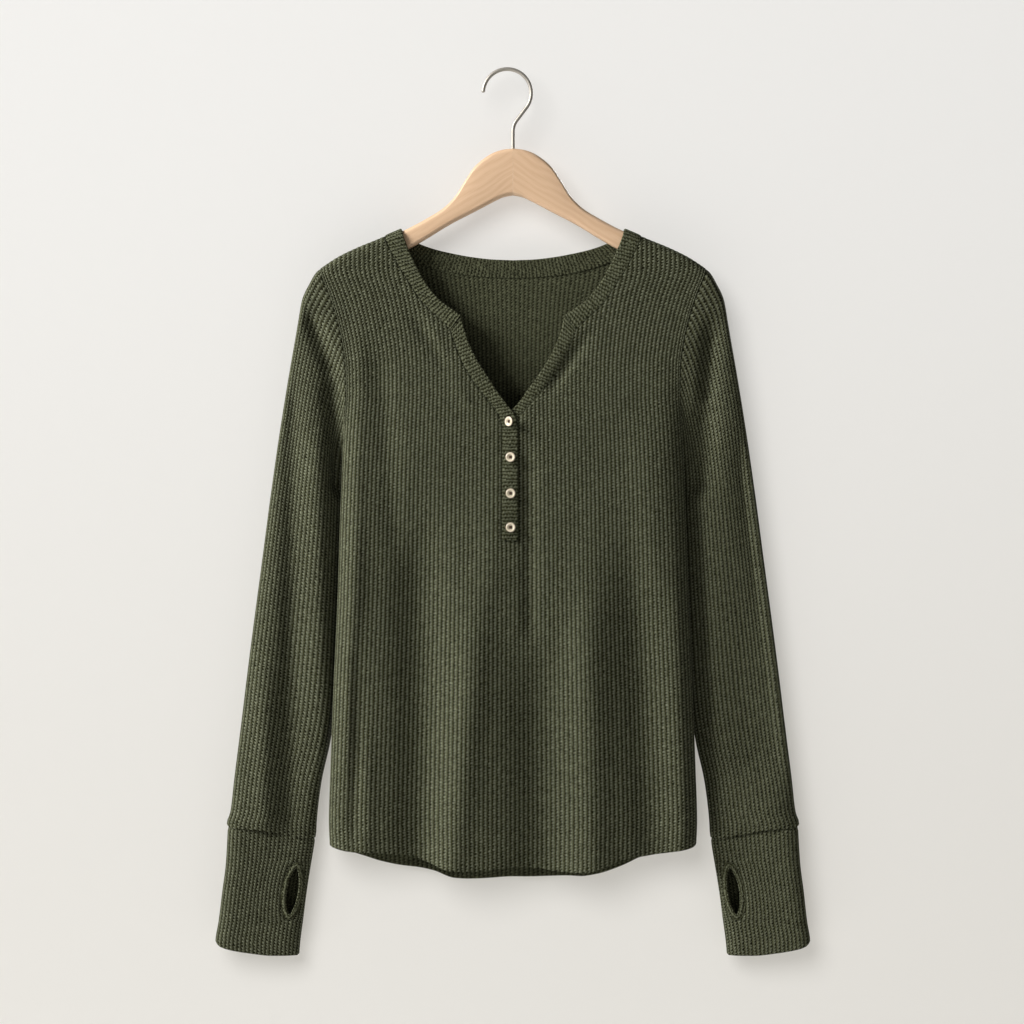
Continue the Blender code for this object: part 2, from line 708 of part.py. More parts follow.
def cap_point(start_way, way, t):
    """Point of the sleeve's cap: its rib leaves the armhole seam slanting outward and turns down
    the sleeve, from the seam (t = 0) to the level CAP_END_Z (t = 1)."""
    start = armhole_point(start_way)
    end = np.array(tube_point(SLEEVE, SLEEVE_TURN, way, CAP_END_Z))
    share = way if way <= 1.0 else 2.0 - way
    lean = np.radians(CAP_LEAN_TOP + (CAP_LEAN_FOOT - CAP_LEAN_TOP) * share)
    leave = np.array([np.sin(lean), CAP_BACKWARD * share**3, -np.cos(lean)])
    arrive = np.array([0.13 - 0.1 * share, 0.0, -1.0])
    length = np.linalg.norm(end - start)
    point = (
        (2.0 * t**3 - 3.0 * t**2 + 1.0) * start
        + (t**3 - 2.0 * t**2 + t) * length * leave
        + (3.0 * t**2 - 2.0 * t**3) * end
        + (t**3 - t**2) * length * arrive
    )
    return point


def cap_ribs(start_ways, ways, t):
    """One ring of the cap, whose outer fold is set on the photo's outline."""
    ring = np.array([cap_point(start, way + (start - way) * (1.0 - ease(t)), t)
                     for start, way in zip(start_ways, ways)])
    outward = float(smooth(CAP_OUTLINE, "value", ring[0, 2])) - ring[0, 0]
    share = np.array([min(way, 2.0 - way) for way in ways])
    ring[:, 0] += outward * np.exp(-(share / CAP_EDGE_SHARE) ** 2)
    return ring


def armhole_edge(proud):
    """The armhole's points on both panels, as one loop from the shoulder tip down the front."""
    halves = []
    for side in (FORWARD, BACKWARD):
        x, z = armhole_rows(side)
        halves.append(body_points(x, z, side, proud))
    return np.concatenate([halves[0], halves[1][-2:0:-1]])


def ring_normals(rings):
    """Outward unit normals of rings that run from the outer fold through the front."""
    along = np.roll(rings, -1, axis=1) - np.roll(rings, 1, axis=1)
    down = np.gradient(rings, axis=0)
    normals = np.cross(along, down)
    return normals / np.linalg.norm(normals, axis=2, keepdims=True)


def sleeve_rings():
    """Rings of a right sleeve, without its folds, from the armhole to the cuff."""
    edge = armhole_edge(0.0)
    front = len(edge) // 2 + 1
    run = run_along(*edge[:front].T)
    start_shares = run / run[-1]
    start_ways = np.concatenate([start_shares, 2.0 - start_shares[-2:0:-1]])
    shares = np.array(SLEEVE_SHARES)
    ways = np.concatenate([shares, 2.0 - shares[-2:0:-1]])
    rings = [cap_ribs(start_ways, ways, t) for t in np.linspace(0.0, 1.0, CAP_ROWS + 1)]
    for k in range(1, SLEEVE_ROWS + 1):
        down = k / SLEEVE_ROWS
        rings.append(np.array([
            slanted_point(SLEEVE, SLEEVE_TURN, way, lambda x: CAP_END_Z, cuff_seam_z, down)
            for way in ways
        ]))
    return np.array(rings)


def sleeve_folded(rings, folds, mirror):
    """The sleeve's rings with its folds pressed into the front and the back."""
    front = rings.shape[1] // 2
    share = np.abs(np.arange(rings.shape[1]) - front) / front
    flat = ease((1.0 - np.abs(2.0 * share - 1.0)) * 3.0)
    height = fold_height(folds, mirror * rings[..., 0], rings[..., 2]) * flat
    height *= ease(np.arange(len(rings)) / 2.0)[:, None]
    return rings + ring_normals(rings) * height[..., None]


def mirrored(points, mirror):
    return np.asarray(points).reshape(-1, 3) * [mirror, 1.0, 1.0]


def build_sleeve(name, mirror, folds, finish):
    """A tube from the armhole seam, which it meets point for point, to the cuff seam."""
    outside = sleeve_folded(sleeve_rings(), folds, mirror)
    inside = outside - ring_normals(outside) * CLOTH
    edge = armhole_edge(0.0)
    along = np.roll(edge, -1, axis=0) - np.roll(edge, 1, axis=0)
    thick = edge - armhole_edge(-CLOTH)
    away = np.cross(along, thick)
    away /= np.linalg.norm(away, axis=1, keepdims=True)
    away *= np.sign(away[:, :1] + 1e-9)
    away[[0, len(edge) // 2]] = [1.0, 0.0, 0.0]
    thick[len(edge) // 2] = [-0.5 * CLOTH, 0.0, -0.87 * CLOTH]
    outside[0] = edge + away * 1.8 * SEAM
    inside[0] = outside[0] - thick
    cells = grid_cells(*outside.shape[:2], closed=True)
    return wall(name, mirrored(outside, mirror), mirrored(inside, mirror), cells, finish)


def thumb_half_widths(reach):
    """Heights and half widths of the thumbhole's lens down its rows, `reach` mm outside it."""
    middle = 0.5 * (THUMB_TOP.z + THUMB_FOOT.z)
    half_long = 0.5 * (THUMB_TOP.z - THUMB_FOOT.z) + reach
    half_wide = 0.5 * THUMB_WIDTH + reach
    point = 1.5 if reach == 0.0 else 1.0
    turns = np.linspace(0.0, np.pi, THUMB_ROWS + 1)
    return middle + half_long * np.cos(turns), half_wide * np.sin(turns) ** point


def thumb_way():
    """Way round the cuff of the rib on which the thumbhole lies."""
    x, _, run, front = tube_loop(CUFF, CUFF_TURN, THUMB_TOP.z)
    middle = np.argmax(run >= front)
    place = np.interp(-THUMB_TOP.x, -x[:middle + 1], run[:middle + 1])
    return place / front


def pushed(gap, half_width):
    """How far a rib `gap` mm from the slit is pushed aside where the slit is open."""
    return np.sign(gap) * half_width * np.clip(1.0 - np.abs(gap) / THUMB_REACH, 0.0, 1.0)


def cuff_rows():
    """Rows of the cuff as (place, height or share, slit half width)."""
    levels, widths = thumb_half_widths(THUMB_BAND + 1.5 * SEAM)
    rows = [("top", 0.0, 0.0), ("top", 0.5, 0.0)]
    rows += [("level", z, w) for z, w in zip(levels, widths)]
    rows += [("foot", 0.5, 0.0), ("foot", 1.0, 0.0)]
    return rows


def cuff_point(row, way, side_of_slit):
    """Point of the cuff on one row; ribs bend aside round the thumbhole."""
    place, value, width = row
    slit = thumb_way()
    if place == "level":
        _, _, run, front = tube_loop(CUFF, CUFF_TURN, value)
        own = way * front if way <= 1.0 else front + (way - 1.0) * (run[-1] - front)
        gap = own - slit * front
        gap -= run[-1] * (gap > 0.5 * run[-1])
        gap = side_of_slit * 1e-6 if side_of_slit else gap
        return tube_point(CUFF, CUFF_TURN, way, value, pushed(gap, width))
    levels = thumb_half_widths(THUMB_BAND + 1.5 * SEAM)[0]
    if place == "top":
        return slanted_point(CUFF, CUFF_TURN, way, lambda x: cuff_seam_z(x) - CUFF_GAP,
                             lambda x: levels[0], value)
    return slanted_point(CUFF, CUFF_TURN, way, lambda x: levels[-1], cuff_end_z, value)


def build_cuff(name, mirror, finish):
    """A tube with a slit on its front, opened to a lens for the thumb band."""
    shares = [share for share in SLEEVE_SHARES if abs(share - thumb_way()) > 0.06]
    front = [(share, 0) for share in shares if share < thumb_way()]
    front += [(thumb_way(), -1), (thumb_way(), 1)]
    front += [(share, 0) for share in shares if share > thumb_way()]
    back = [(2.0 - share, 0) for share in SLEEVE_SHARES[-2:0:-1]]
    ribs = front + back
    slit = len([share for share in shares if share < thumb_way()])
    rows = cuff_rows()
    outside = np.array([[cuff_point(row, way, edge) for way, edge in ribs] for row in rows])
    inside = outside - tube_normals(CUFF, CUFF_TURN, outside) * CLOTH
    first_open, last_open = 3, len(rows) - 4
    count = len(ribs)

    def name_of(row, rib):
        """Both edges of the slit are one point on the rows where it is shut."""
        shut = not first_open <= row <= last_open
        return row * count + (slit if shut and rib == slit + 1 else rib)

    cells = []
    for row in range(len(rows) - 1):
        for rib in range(count):
            if rib == slit:
                continue
            after = (rib + 1) % count
            corners = ((row, rib), (row + 1, rib), (row + 1, after), (row, after))
            cells.append(tuple(dict.fromkeys(name_of(*corner) for corner in corners)))
    used = sorted({k for cell in cells for k in cell})
    number = {k: n for n, k in enumerate(used)}
    cells = [tuple(number[k] for k in cell) for cell in cells]
    outside = mirrored(outside, mirror)[used]
    inside = mirrored(inside, mirror)[used]
    return wall(name, outside, inside, cells, finish)


def tube_normal(table, turn, point):
    """Outward normal of a flattened tube at the place nearest to a point on it."""
    x, y, _, _ = tube_loop(table, turn, point[2])
    k = int(np.argmin((x - point[0]) ** 2 + (y - point[1]) ** 2))
    along_x = x[(k + 3) % (len(x) - 1)] - x[(k - 3) % (len(x) - 1)]
    along_y = y[(k + 3) % (len(x) - 1)] - y[(k - 3) % (len(x) - 1)]
    normal = np.array([-along_y, along_x, 0.0])
    return normal / np.linalg.norm(normal)


def tube_normals(table, turn, grid):
    return np.array([[tube_normal(table, turn, point) for point in row] for row in grid])


def build_thumb_band(name, mirror, finish):
    """A flat ring of knit round the thumbhole, in the cuff's own surface."""
    slit = thumb_way()
    loops = []
    for reach in (THUMB_BAND, 0.5 * THUMB_BAND, 0.0):
        levels, widths = thumb_half_widths(reach)
        right = [tube_point(CUFF, CUFF_TURN, slit, z, w) for z, w in zip(levels, widths)]
        left = [tube_point(CUFF, CUFF_TURN, slit, z, -w) for z, w in zip(levels, widths)]
        loops.append(right + left[-2:0:-1])
    face = np.array(loops)
    normals = tube_normals(CUFF, CUFF_TURN, face)
    outside = face + normals * BAND_PROUD
    inside = face + normals * (BAND_PROUD - BAND)
    cells = grid_cells(*face.shape[:2], closed=True)
    return wall(name, mirrored(outside, mirror), mirrored(inside, mirror), cells, finish)


# ---------------------------------------------------------------- neckband and placket

def neck_rows(side):
    """Rows of the neckband on the right half: seam point and free edge point on a panel, from
    the middle of the V or of the back to the shoulder."""
    table = NECK_FRONT if side == FORWARD else NECK_BACK
    seam_z, edge_z = float(shoulder_z(NECK_SIDE_X)), float(shoulder_z(NECK_EDGE_X))
    table = [*table, Band(NECK_SIDE_X, seam_z, NECK_EDGE_X, edge_z)]
    first = NECK_FRONT[0].seam_x if side == FORWARD else 0.0
    places = [x for x in (0.0, *NECK_RIBS) if x >= first]
    rows = []
    for seam_x in places:
        seam_z = neckline_z(seam_x, side)
        edge_x = float(smooth(table, "edge_x", seam_x, key="seam_x"))
        edge_z = float(smooth(table, "edge_z", seam_x, key="seam_x"))
        rows.append((seam_x, seam_z, edge_x, edge_z))
    return rows


def band_strip(row, side, gap=1.6 * SEAM):
    """Points across a band on a panel's surface, from just inside its seam to its free edge."""
    seam = np.array(row[:2])
    edge = np.array(row[2:4])
    start = seam + (edge - seam) / np.linalg.norm(edge - seam) * gap
    across = np.array([start + (edge - start) * t for t in BAND_STATIONS])
    return across[:, 0], across[:, 1]


def build_neckband(name, finish):
    """One band from the left corner of the V over both shoulders to the right corner."""
    pieces = []
    for mirror in (-1.0, 1.0):
        front = [(row, FORWARD) for row in neck_rows(FORWARD)]
        back = [(row, BACKWARD) for row in neck_rows(BACKWARD)[:-1]]
        way_round = front + back[::-1]
        half = []
        for row, side in way_round:
            x, z = band_strip(row, side)
            half.append((mirror * x, z, side))
        pieces.append(half)
    rows = pieces[0] + pieces[1][-2::-1]
    outside, inside = [], []
    for x, z, side in rows:
        outside.append(body_points(x, z, side, BAND_PROUD))
        inside.append(body_points(x, z, side, BAND_PROUD - BAND))
    outside, inside = np.array(outside), np.array(inside)
    cells = grid_cells(*outside.shape[:2])
    return wall(name, outside.reshape(-1, 3), inside.reshape(-1, 3), cells, finish)


def strip_rows(table, closed_proud):
    """Rows of a placket strip: beside the open V, then down the closed slot."""
    sign = 1.0 if table[0].seam_x > 0.0 else -1.0
    rows = []
    for rib in reversed((FRONT_EXTRA_RIB, *NECK_RIBS)):
        if rib > abs(table[0].seam_x):
            continue
        seam_x = sign * rib
        values = [float(smooth(table, name, seam_x, key="seam_x")) for name in Strip._fields[2:]]
        rows.append((seam_x, neckline_z(seam_x, FORWARD), *values))
    start, below = np.array(rows[0]), np.array(rows[1])
    rows[0] = tuple(start + (below - start) * 3.0 * SEAM / np.linalg.norm((below - start)[:2]))
    rows.append(tuple(table[-1]))
    seam_share = float(rib_share(table[-1].seam_x, table[-1].seam_z))
    other = PLACKET_UNDER if table is PLACKET_TOP else PLACKET_TOP
    edge_share = float(rib_share(other[-1].seam_x, other[-1].seam_z))
    for z in np.linspace(ARMPIT_Z, PLACKET_FOOT_Z + 2.0 * SEAM, PLACKET_ROWS + 1):
        seam_x, edge_x = float(rib_x(seam_share, z)[0]), float(rib_x(edge_share, z)[0])
        rows.append((seam_x, z, edge_x - np.sign(edge_x - seam_x) * 1.5 * SEAM, z, closed_proud))
    return rows


def build_strip(name, table, closed_proud, finish):
    """A placket strip, `proud` of the panel that it is sewn to."""
    outside, inside = [], []
    for row in strip_rows(table, closed_proud):
        x, z = band_strip(row, FORWARD)
        outside.append(body_points(x, z, FORWARD, row[4]))
        inside.append(body_points(x, z, FORWARD, row[4] - STRIP))
    outside, inside = np.array(outside), np.array(inside)
    cells = grid_cells(*outside.shape[:2])
    return wall(name, outside.reshape(-1, 3), inside.reshape(-1, 3), cells, finish)


# ---------------------------------------------------------------- buttons, hanger and hook

def build_button(name, place, finish):
    """A turned disc with a well in its face and four holes, on the closed placket."""
    rim = 0.5 * BUTTON_THICK
    profile = [
        (0.0, rim), (0.7 * BUTTON_RADIUS, rim), (0.93 * BUTTON_RADIUS, 0.55 * rim),
        (BUTTON_RADIUS, -0.1 * rim), (0.95 * BUTTON_RADIUS, -0.7 * rim), (0.84 * BUTTON_RADIUS, -rim),
        (BUTTON_WELL_RADIUS + 0.5, -0.92 * rim), (BUTTON_WELL_RADIUS, BUTTON_WELL_DEPTH - rim),
        (0.0, BUTTON_WELL_DEPTH - rim),
    ]
    mesh = bpy.data.meshes.new(name)
    shape = bmesh.new()
    points = [shape.verts.new((radius * MM, depth * MM, 0.0)) for radius, depth in profile]
    edges = [shape.edges.new(pair) for pair in zip(points, points[1:])]
    bmesh.ops.spin(shape, geom=points + edges, axis=(0.0, 1.0, 0.0), cent=(0.0, 0.0, 0.0),
                   angle=2.0 * np.pi, steps=BUTTON_SIDES, use_merge=True)
    bmesh.ops.remove_doubles(shape, verts=shape.verts, dist=0.00001)
    bmesh.ops.recalc_face_normals(shape, faces=shape.faces)
    shape.to_mesh(mesh)
    shape.free()
    mesh.shade_smooth()
    mesh.set_sharp_from_angle(angle=np.radians(50.0))
    mesh.materials.append(finish)
    button = bpy.data.objects.new(name, mesh)
    bpy.context.collection.objects.link(button)
    turn = np.radians(place.turn)
    radius, depth = np.array(profile[:4]).T[..., None]
    angle = np.linspace(0.0, 2.0 * np.pi, BUTTON_SIDES)
    x = radius * np.cos(angle) * np.cos(turn) + depth * np.sin(turn)
    y = depth * np.cos(turn) - radius * np.cos(angle) * np.sin(turn)
    z = radius * np.sin(angle)
    face = body_points(place.x + x, place.z + z, FORWARD, PLACKET_CLOSED_TOP)[..., 1]
    seat = (face - y).min() - BUTTON_SEAT
    button.location = ((CENTRE_X + place.x) * MM, seat * MM, place.z * MM)
    button.rotation_euler = (0.0, 0.0, -turn)
    for k in range(4):
        angle = np.radians(45.0 + 90.0 * k)
        hole = cylinder(f"{name}_hole_{k}", BUTTON_HOLE_RADIUS, 2.0 * BUTTON_THICK, 8)
        hole.parent = button
        hole.rotation_euler = (0.5 * np.pi, 0.0, 0.0)
        out = BUTTON_HOLE_OUT * MM
        hole.location = (out * np.cos(angle), 0.0, out * np.sin(angle))
        cut(button, hole)
    return button


def cylinder(name, radius, length, sides):
    """A cutter along Z."""
    mesh = bpy.data.meshes.new(name)
    shape = bmesh.new()
    bmesh.ops.create_cone(shape, cap_ends=True, segments=sides, radius1=radius * MM,
                          radius2=radius * MM, depth=length * MM)
    shape.to_mesh(mesh)
    shape.free()
    made = bpy.data.objects.new(name, mesh)
    made.hide_render = True
    made.display_type = "WIRE"
    bpy.context.collection.objects.link(made)
    return made


def cut(target, cutter):
    modifier = target.modifiers.new(cutter.name, "BOOLEAN")
    modifier.operation = "DIFFERENCE"
    modifier.object = cutter


def arm_section(row):
    """Rounded rectangle of the hanger's arm at one station, as (y, z) round its outline."""
    edge = min(HANGER_EDGE, 0.95 * row.half_thick)
    points = []
    for corner in range(4):
        y = (row.half_thick - edge) * (1.0 if corner in (0, 3) else -1.0)
        z = row.top_z - edge if corner < 2 else row.foot_z + edge
        for step in range(EDGE_STEPS + 1):
            angle = 0.5 * np.pi * (corner + step / EDGE_STEPS)
            points.append((y + edge * np.cos(angle), z + edge * np.sin(angle)))
    return points


def build_arm(name, mirror, finish):
    """Half of the hanger, lofted from the glue joint at the middle to its rounded tip."""
    sections = [arm_section(row) for row in HANGER]
    points = []
    for row, section in zip(HANGER, sections):
        x = mirror * max(row.x, 0.5 * SEAM)
        points += [(x, y, z) for y, z in section]
    count = len(sections[0])
    cells = grid_cells(len(HANGER), count, closed=True)
    last = (len(HANGER) - 1) * count
    cells.append(tuple(range(count)))
    cells.append(tuple(range(last + count - 1, last - 1, -1)))
    return solid(name, points, cells, finish)


def hook_route():
    """Points along the wire, from the stem's foot in the hanger to the crown's free end."""
    centre_z = 0.5 * WIRE - HOOK_RADIUS
    start = np.radians(HOOK_NECK_ANGLE)
    end = np.radians(HOOK_TIP_ANGLE)
    tangent = np.array([HOOK_RADIUS * np.cos(start), centre_z + HOOK_RADIUS * np.sin(start)])
    way = np.array([np.sin(start), -np.cos(start)])
    corner = tangent + way * (tangent[0] - CENTRE_X) / -way[0]
    below = corner + [0.0, -HOOK_NECK_BEND]
    above = corner - way * HOOK_NECK_BEND
    route = [(CENTRE_X, z) for z in np.linspace(HOOK_STEM_FOOT_Z, below[1], 5)]
    for t in np.linspace(0.0, 1.0, 7)[1:]:
        route.append(tuple((1 - t) ** 2 * below + 2 * t * (1 - t) * corner + t * t * above))
    for t in np.linspace(0.0, 1.0, 4)[1:]:
        route.append(tuple(above + (tangent - above) * t))
    for angle in np.linspace(start, end, 26)[1:]:
        route.append((HOOK_RADIUS * np.cos(angle), centre_z + HOOK_RADIUS * np.sin(angle)))
    return route


def build_hook(name, finish):
    curve = bpy.data.curves.new(name, "CURVE")
    curve.dimensions = "3D"
    curve.bevel_depth = 0.5 * WIRE * MM
    curve.bevel_resolution = 4
    curve.use_fill_caps = True
    line = curve.splines.new("POLY")
    route = hook_route()
    line.points.add(len(route) - 1)
    for point, (x, z) in zip(line.points, route):
        point.co = (x * MM, 0.0, z * MM, 1.0)
    curve.materials.append(finish)
    made = bpy.data.objects.new(name, curve)
    bpy.context.collection.objects.link(made)
    return made


def build_hanger(wood, metal):
    """Two arms glued at the middle, bored for the hook's stem."""
    length = 2.0 * (HANGER[0].top_z - HOOK_STEM_FOOT_Z + 2.0)
    bore = cylinder("stem_bore", 0.5 * HOOK_BORE, length, 20)
    bore.location = (CENTRE_X * MM, 0.0, HANGER[0].top_z * MM)
    for name, mirror in (("hanger_left", -1.0), ("hanger_right", 1.0)):
        cut(build_arm(name, mirror, wood), bore)
    build_hook("hook", metal)


# ---------------------------------------------------------------- the whole top

def build():
    for old in list(bpy.data.objects):
        bpy.data.objects.remove(old)
    knit = material("knit", (0.065, 0.067, 0.040), 0.9)
    inner_knit = material("knit_shaded", (0.050, 0.052, 0.030), 0.9)
    trim = material("knit_band", (0.070, 0.072, 0.043), 0.9)
    shell = material("shell", (0.78, 0.70, 0.56), 0.3)
    wood = material("wood", (0.706, 0.471, 0.286), 0.5)
    metal = material("metal", (0.55, 0.50, 0.44), 0.3, 1.0)
    build_panel("front", FORWARD, knit)
    build_panel("back", BACKWARD, inner_knit)
    build_neckband("neckband", trim)
    build_strip("placket_top", PLACKET_TOP, PLACKET_CLOSED_TOP, trim)
    build_strip("placket_under", PLACKET_UNDER, PLACKET_CLOSED_UNDER, trim)
    for side, mirror, folds in (("left", -1.0, LEFT_SLEEVE_FOLDS), ("right", 1.0, RIGHT_SLEEVE_FOLDS)):
        build_sleeve(f"sleeve_{side}", mirror, folds, knit)
        build_cuff(f"cuff_{side}", mirror, knit)
        build_thumb_band(f"thumb_band_{side}", mirror, trim)
    for number, place in enumerate(BUTTONS, 1):
        build_button(f"button_{number}", place, shell)
    build_hanger(wood, metal)


build()
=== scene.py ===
"""Looks of a ribbed-knit henley top on a wooden hanger with a wire hook.

Lengths are in millimetres about the garment's centre plane until a mesh is made, as in the part's
own source; +Z is up and the front faces -Y. Every knit piece is a closed shell on the form of its
solid, with the ribs of the knit in its mesh and the waffle between them in its material.
"""

from collections import namedtuple

import bmesh
import bpy
import numpy as np
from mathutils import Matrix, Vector


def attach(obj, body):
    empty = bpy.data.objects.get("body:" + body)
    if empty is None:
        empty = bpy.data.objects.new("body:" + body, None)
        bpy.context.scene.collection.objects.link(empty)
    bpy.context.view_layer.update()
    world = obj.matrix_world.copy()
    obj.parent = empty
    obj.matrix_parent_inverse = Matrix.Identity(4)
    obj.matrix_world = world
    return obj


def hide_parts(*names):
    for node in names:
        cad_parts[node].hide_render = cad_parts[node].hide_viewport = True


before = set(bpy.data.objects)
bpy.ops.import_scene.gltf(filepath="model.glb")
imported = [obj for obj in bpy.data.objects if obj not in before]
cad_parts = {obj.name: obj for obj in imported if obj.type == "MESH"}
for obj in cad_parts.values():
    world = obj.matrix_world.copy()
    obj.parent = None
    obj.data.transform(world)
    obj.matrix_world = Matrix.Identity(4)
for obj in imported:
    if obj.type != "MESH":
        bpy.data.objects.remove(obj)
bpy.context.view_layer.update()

MM = 0.001

Height = namedtuple("Height", "z value")
Across = namedtuple("Across", "x z")
# A flattened tube at a height: the places of its outer and inner fold, and its half depth.
Tube = namedtuple("Tube", "z outer_x inner_x outer_y inner_y depth")
# A point of a band's sewn edge and the one of its free edge across from it.
Band = namedtuple("Band", "seam_x seam_z edge_x edge_z")
Strip = namedtuple("Strip", "seam_x seam_z edge_x edge_z proud")
# A soft ridge, or a valley where its height is negative, that begins over the length `fade`.
Fold = namedtuple("Fold", "top_x top_z foot_x foot_z spread height fade")
Arm = namedtuple("Arm", "x top_z foot_z half_thick")
Button = namedtuple("Button", "x z turn")


def chart(kind, *rows):
    return [kind(*map(float, row)) for row in rows]


# ---- sizes of the solids (mm)

CENTRE_X = 5.8             # the garment's centre plane, right of the hook's crown
CLOTH = 1.6                # wall of the ribbed knit
BAND = 2.2                 # wall of the neckband and thumb bands
STRIP = 1.8                # wall of one placket strip
BAND_PROUD = 0.3           # how far a band stands in front of the panel beside it
SEAM = 0.3                 # gap between two pieces at a seam

SHOULDER_WRAP = 9.0        # height over which a panel turns back over the shoulder
SIDE_TURN = 24.0           # width over which it turns back at the side seam
SLEEVE_TURN = 32.0         # the same at the folds of the sleeve
CUFF_TURN = 16.0           # and of the cuff
SIDE_FOLD_Z = -335.0       # below it the side turns like a fold, above it like a flat swell
SIDE_FOLD_OVER = 40.0      # height over which the one becomes the other

SHOULDER_TIP_Z = -197.5
ARMPIT_Z = -375.0
CAP_END_Z = -430.0
NECK_SIDE_X = 128.5        # where the neckband's seam meets the shoulder line
NECK_EDGE_X = 111.5        # and where its free edge does
PLACKET_FOOT_Z = -469.8
FORWARD, BACKWARD = -1.0, 1.0

BODY_WIDTH = chart(
    Height,
    (-197.5, 193), (-205, 191), (-214, 187.3), (-222, 183.8), (-236, 179), (-250, 174.9),
    (-275, 169.5), (-296, 167), (-320, 166.6), (-350, 168.5), (-390, 171), (-450, 173.5),
    (-530, 176), (-620, 180), (-700, 183), (-750, 184.5), (-775, 183.5))
BODY_DEPTH = chart(
    Height,
    (-150, 9.4), (-215, 9.6), (-260, 11.2), (-350, 14.5), (-480, 17), (-620, 19), (-810, 21.5))
ARMHOLE_DEPTH = chart(
    Height,
    (-197.5, 8.3), (-230, 10.2), (-280, 11), (-315, 10.2), (-345, 7.6), (-362, 4.8), (-371, 2.2),
    (-375, 0))
SHOULDER_LINE = chart(
    Across,
    (0, -108), (90, -149), (112, -158), (138, -169), (156.5, -176.6), (175, -185.7),
    (185.5, -192.3), (193, -197.5))
FRONT_HEM = chart(
    Across,
    (-184.2, -770.5), (-183.2, -774), (-178, -776), (-165, -778.6), (-155, -779.5),
    (-140, -779.6), (-118, -781.8), (-101, -783.4), (-87, -789), (-64, -797), (-45, -797.8),
    (7, -794), (49, -799), (66, -799.6), (91, -794.5), (105, -788), (117, -785.2), (130, -783.9),
    (142, -782), (161, -779), (178, -775.8), (182, -774.2), (184.2, -770.5))
BACK_HEM = chart(
    Across,
    (-184.2, -770.5), (-183.2, -774), (-178, -776.4), (-166, -781.5), (-156, -785),
    (-145, -788.5), (-134, -791.7), (-115, -795.2), (-97, -797.5), (-80, -801.5), (-59, -809.5),
    (-45, -810.6), (7, -807), (49, -807.2), (68, -808), (85, -805), (105, -797.8), (115, -793.6),
    (126, -788.6), (140, -784.2), (161, -779.4), (178, -775.9), (182, -774.2), (184.2, -770.5))

SLEEVE = chart(
    Tube,
    (-430, 243.3, 168.5, 2, 13.5, 15),
    (-489, 251, 170.5, 2, 13.5, 15),
    (-549, 259, 173, 2, 13.5, 14.5),
    (-609, 266.7, 175.8, 2, 13.5, 14),
    (-645, 271, 179.2, 1.5, 13, 13.5),
    (-673, 274.5, 183.6, 1.5, 12, 13),
    (-709, 279, 191.6, 1, 10, 12.5),
    (-735, 281.8, 195.2, 0.5, 9, 12.5),
    (-745, 283.6, 196.2, 0.5, 9, 12.5),
    (-752, 287.2, 196.8, 0.5, 9, 12.5),
    (-768, 287.6, 197.4, 0.5, 9, 12.5))
CAP_OUTLINE = chart(
    Height,
    (-197.5, 193), (-201.3, 196.6), (-205, 199.3), (-214, 204.2), (-222, 208.4), (-229, 211),
    (-239, 213), (-249, 214.6), (-269, 218), (-309, 225), (-369, 234.6), (-430, 243.3))
CAP_LEAN_TOP = 44.0        # degrees a rib leans outward where it leaves the seam, at the shoulder
CAP_LEAN_FOOT = 20.0       # and at the armpit
CAP_TUCK = 40.0            # how much less the ribs under the arm lean, behind the body
CAP_LEAVE = 0.62           # how far a rib keeps that lean, as a share of its length
CAP_TUCK_FROM = 0.84       # share of the way down from which they are tucked
CAP_BACKWARD = 0.35        # how far they lean back there
CAP_FLARE = 0.13           # outward slope of the ribs where the cap ends, at the outer fold
CAP_FLARE_LESS = 0.1       # and how much less it is at the inner fold
CAP_EDGE_SHARE = 0.22      # share of the front, beside the outer fold, that follows the outline

CUFF = chart(
    Tube,
    (-752, 285, 196, 0.5, 9, 10.5),
    (-773, 286, 199, 0.5, 9, 9.5),
    (-794, 287.5, 202.5, 0.5, 9, 9),
    (-820, 291, 206.5, 0.5, 9, 9),
    (-850, 294.5, 210.5, 0.5, 9, 9),
    (-872, 297.6, 213.4, 0.5, 9, 9),
    (-887, 297.6, 214.6, 0.5, 9, 9))
CUFF_SEAM = chart(
    Across,
    (196, -767), (200.3, -767.4), (208.7, -767.8), (218.5, -765.2), (234, -762), (250, -759),
    (261, -757.8), (277, -757.2), (284, -755.5), (288, -751.5))
CUFF_END = chart(
    Across,
    (212.5, -881), (215.5, -884.8), (240.3, -884.6), (264.5, -881.8), (285, -877.8),
    (294, -874.5), (298, -870))
THUMB_X = 216.7            # of the rib that the thumbhole parts, at its top
THUMB_TOP_Z, THUMB_FOOT_Z = -796.8, -843.5
THUMB_WIDTH = 12.0
THUMB_BAND = 5.5           # width of the band round it
THUMB_REACH = 42.0         # how far round the cuff the ribs bend aside for it
CUFF_GAP = 0.6             # between the sleeve's foot and the cuff

NECK_FRONT = chart(
    Band,
    (63, -259, 52.3, -244.3),
    (74, -247.5, 63, -237),
    (83.5, -239, 72.5, -229.8),
    (93, -228.5, 81.3, -220.3),
    (102.3, -214.5, 89.5, -208.5),
    (112, -199, 97, -194.5),
    (119.7, -185, 103.3, -181),
    (125.7, -172.5, 108.8, -167))
NECK_BACK = chart(
    Band,
    (121.5, -174, 107, -164.6),
    (105.5, -183.8, 93.5, -172.2),
    (86, -191.8, 77, -178),
    (66, -197.2, 60, -182),
    (44, -200.8, 40, -185.6),
    (22, -202.9, 20, -187.8),
    (0, -203.4, 0, -188.6))

